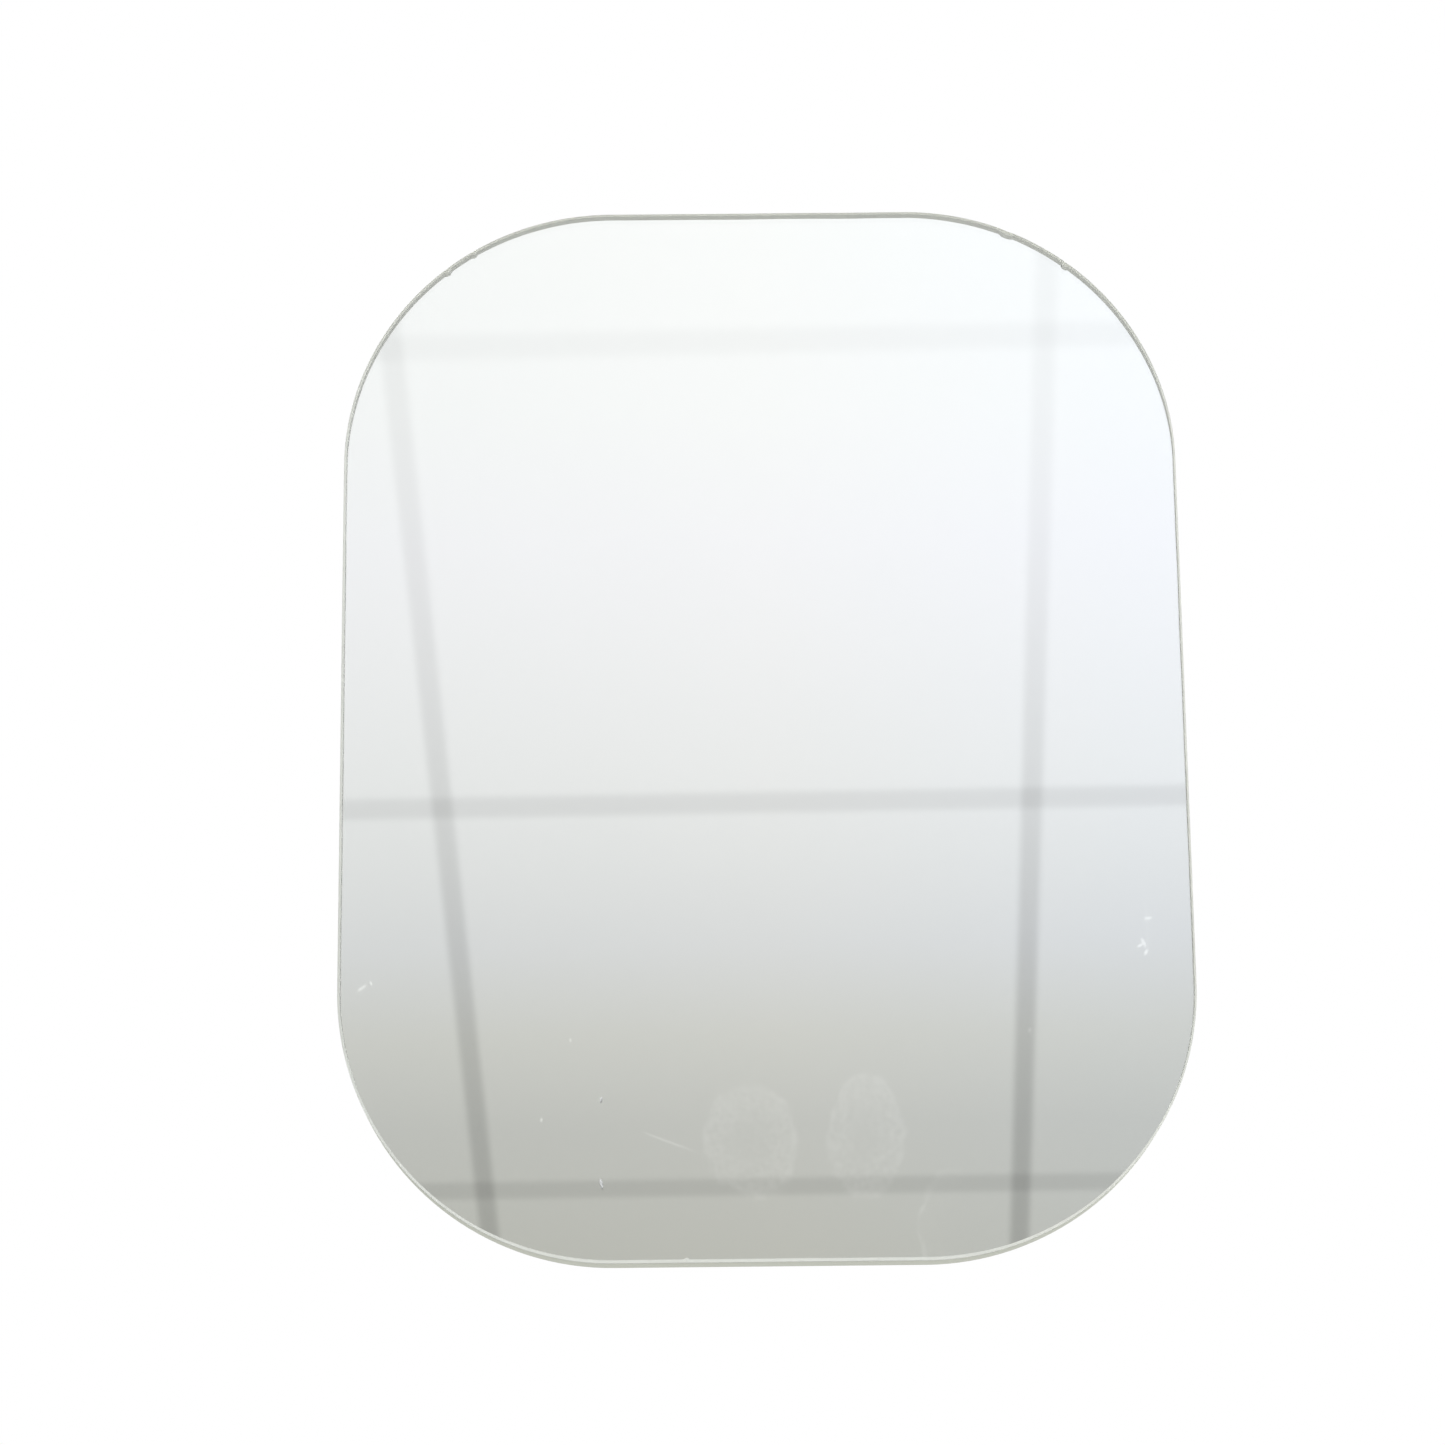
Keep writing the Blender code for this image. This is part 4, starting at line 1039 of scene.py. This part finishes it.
# ---- room, light and camera
# The reflected ceiling: its own x runs from left to right in the mirror, its y away from the mirror.
PANEL_HEIGHT = 2.0              # above the pane's middle, square to the panel
PANEL_TILT = -149.13
PANEL_TURN = 1.90
PANEL_CORNERS = ((-1.1, 0.7), (1.1, 3.6))
PANEL_STRENGTH = 1.06
RAMP_SPAN = 4.0                 # y at the far end of the ramp
TINT_PEAK = 1.2                 # tints are divided by this on the ramp and multiplied back after it
# Colour with distance: y, colour.
CEILING_TONES = (
    (1.386, (0.982, 0.985, 0.992)), (1.574, (0.957, 0.960, 0.972)), (1.725, (0.927, 0.921, 0.952)),
    (1.85, (0.887, 0.884, 0.903)), (2.00, (0.832, 0.833, 0.841)), (2.116, (0.772, 0.775, 0.780)),
    (2.238, (0.697, 0.701, 0.710)), (2.366, (0.617, 0.616, 0.589)), (2.50, (0.537, 0.537, 0.514)),
    (2.70, (0.502, 0.500, 0.465)),
)
# Tint from side to side: x, what it multiplies the colour by.
SIDE_TINTS = ((-0.40, (0.955, 0.960, 0.960)), (-0.045, (1.0, 1.0, 1.0)), (0.30, (1.005, 1.025, 1.060)))
# Soft seams: place, depth where the ceiling is near, depth where it is far.
SEAMS_ACROSS = ((-0.344, 0.085, 0.256), (0.196, 0.055, 0.286))
SEAMS_AWAY = ((1.505, 0.050, 0.050), (2.047, 0.130, 0.130), (2.596, 0.155, 0.155))
SEAM_HALF_ACROSS = 0.0087
SEAM_HALF_AWAY = 0.0122
SEAM_NEAR, SEAM_FAR = 1.45, 2.65

FLOOR_LEVEL = -0.55
FLOOR_HALF = 6.0
WORLD_LIGHT = 0.78
# Soft round lights: name, place, size, power, colour.
LIGHTS = (
    ("key", (-1.1, -0.6, 1.5), 1.2, 14.0, (1.0, 1.0, 1.0)),
    ("fill", (1.4, -0.5, 0.5), 1.2, 10.0, (0.95, 0.98, 1.0)),
    ("back_fill", (0.4, 1.6, 0.9), 1.4, 10.0, (1.0, 1.0, 1.0)),
)
LIGHT_AIM = Vector((0.0, -0.10, 0.0))
CAMERA_PLACE = (-0.0152, -1.1362, -0.2577)
CAMERA_TURN = (104.939, 0.615, -0.164)
CAMERA_LENS = 105.05


def flat_sheet(name, low, high):
    """A level rectangle between two corners."""
    corners = [(low[0], low[1], 0.0), (high[0], low[1], 0.0), (high[0], high[1], 0.0), (low[0], high[1], 0.0)]
    mesh = bpy.data.meshes.new(name)
    mesh.from_pydata(corners, [], [(0, 1, 2, 3)])
    return linked(name, mesh)


def build_ceiling():
    """A lit ceiling that only the mirror sees: soft seams and light that falls off with distance."""
    panel = flat_sheet("ceiling_panel", *PANEL_CORNERS)
    tilt = Matrix.Rotation(math.radians(PANEL_TILT), 4, "X")
    turn = Matrix.Rotation(math.radians(PANEL_TURN), 4, "Z") @ tilt
    up = -(turn.to_3x3() @ Vector((0, 0, 1)))
    panel.matrix_world = Matrix.Translation(pane_centre + up * PANEL_HEIGHT) @ turn
    look = Look("lit_ceiling", (0.8, 0.8, 0.8), 0.9)
    x, y, _ = look.across()
    tone = look.ramp(look.math("DIVIDE", y, RAMP_SPAN),
                     [(at / RAMP_SPAN, colour) for at, colour in CEILING_TONES])
    tint = look.ramp(look.math("ADD", x, 0.5),
                     [(at + 0.5, [part / TINT_PEAK for part in colour]) for at, colour in SIDE_TINTS])
    shade = 1.0
    for along, seams, half in ((x, SEAMS_ACROSS, SEAM_HALF_ACROSS), (y, SEAMS_AWAY, SEAM_HALF_AWAY)):
        for centre, near, far in seams:
            depth = near if near == far else look.between(y, SEAM_NEAR, SEAM_FAR, near, far)
            off = look.math("DIVIDE", look.math("SUBTRACT", along, centre), half)
            steep = look.math("POWER", look.math("ABSOLUTE", off), 4.0)
            soft = look.math("EXPONENT", look.math("MULTIPLY", steep, -0.5))
            keep = look.math("SUBTRACT", 1.0, look.math("MULTIPLY", soft, depth))
            shade = look.math("MULTIPLY", shade, keep)
    lit = look.node("ShaderNodeEmission")
    look.feed(lit.inputs["Color"], look.mix(1.0, tone, tint, "MULTIPLY"))
    look.feed(lit.inputs["Strength"], look.math("MULTIPLY", shade, PANEL_STRENGTH * TINT_PEAK))
    look.tree.links.new(lit.outputs[0], look.tree.nodes["Material Output"].inputs["Surface"])
    look.tree.nodes.remove(look.shader)
    panel.data.materials.append(look.material)
    panel.visible_camera = False
    panel.visible_diffuse = False
    panel.visible_shadow = False


def build_floor():
    floor = flat_sheet("studio_floor", (-FLOOR_HALF, -FLOOR_HALF), (FLOOR_HALF, FLOOR_HALF))
    floor.location.z = FLOOR_LEVEL
    look = Look("pale_floor", (0.80, 0.80, 0.79), 0.7)
    look.set("Base Color", look.mix(look.noise(3.0, 4.0), (0.66, 0.66, 0.65), (0.71, 0.71, 0.70)))
    floor.data.materials.append(look.material)


def build_world():
    """White behind the object, softer as a light."""
    world = bpy.data.worlds.new("studio")
    bpy.context.scene.world = world
    world.use_nodes = True
    nodes, links = world.node_tree.nodes, world.node_tree.links
    seen = nodes["Background"]
    seen.inputs["Color"].default_value = (1.0, 1.0, 1.0, 1.0)
    seen.inputs["Strength"].default_value = 1.0
    soft = nodes.new("ShaderNodeBackground")
    soft.inputs["Color"].default_value = (0.96, 0.98, 1.0, 1.0)
    soft.inputs["Strength"].default_value = WORLD_LIGHT
    choose = nodes.new("ShaderNodeMixShader")
    links.new(nodes.new("ShaderNodeLightPath").outputs["Is Camera Ray"], choose.inputs[0])
    links.new(soft.outputs[0], choose.inputs[1])
    links.new(seen.outputs[0], choose.inputs[2])
    links.new(choose.outputs[0], nodes["World Output"].inputs["Surface"])


def build_lights():
    for name, place, size, power, colour in LIGHTS:
        data = bpy.data.lights.new(name, "AREA")
        data.shape = "DISK"
        data.size = size
        data.energy = power
        data.color = colour
        light = linked(name, data)
        light.location = place
        light.rotation_mode = "QUATERNION"
        light.rotation_quaternion = (LIGHT_AIM - Vector(place)).to_track_quat("-Z", "Y")


def build_camera():
    data = bpy.data.cameras.new("camera")
    data.lens = CAMERA_LENS
    data.sensor_width = 36.0
    data.clip_start = 0.01
    data.clip_end = 50.0
    camera = linked("camera", data)
    camera.location = CAMERA_PLACE
    camera.rotation_euler = [math.radians(angle) for angle in CAMERA_TURN]
    bpy.context.scene.camera = camera
    bpy.context.scene.view_settings.view_transform = "Standard"


looks = {
    "glass": glass_look(), "ground": ground_look(), "silver": silver_look(), "paint": backing_paint_look(),
    "shell": shell_look(), "steel": coated_steel_look(), "zinc": zinc_look(), "stainless": stainless_look(),
    "nylon": nylon_look(), "foam": foam_look(), "knob": knob_look(),
}
build_pane(looks)
build_shell(looks)
build_bracket(looks)
build_bracket_fasteners(looks)
build_clamp("tilt", "X", looks, "head")
build_clamp("pan", "Z", looks, "wall_mount")
build_arm(looks)
build_wall_plate(looks)
finish_carried_nodes(looks)
build_ceiling()
build_floor()
build_world()
build_lights()
build_camera()
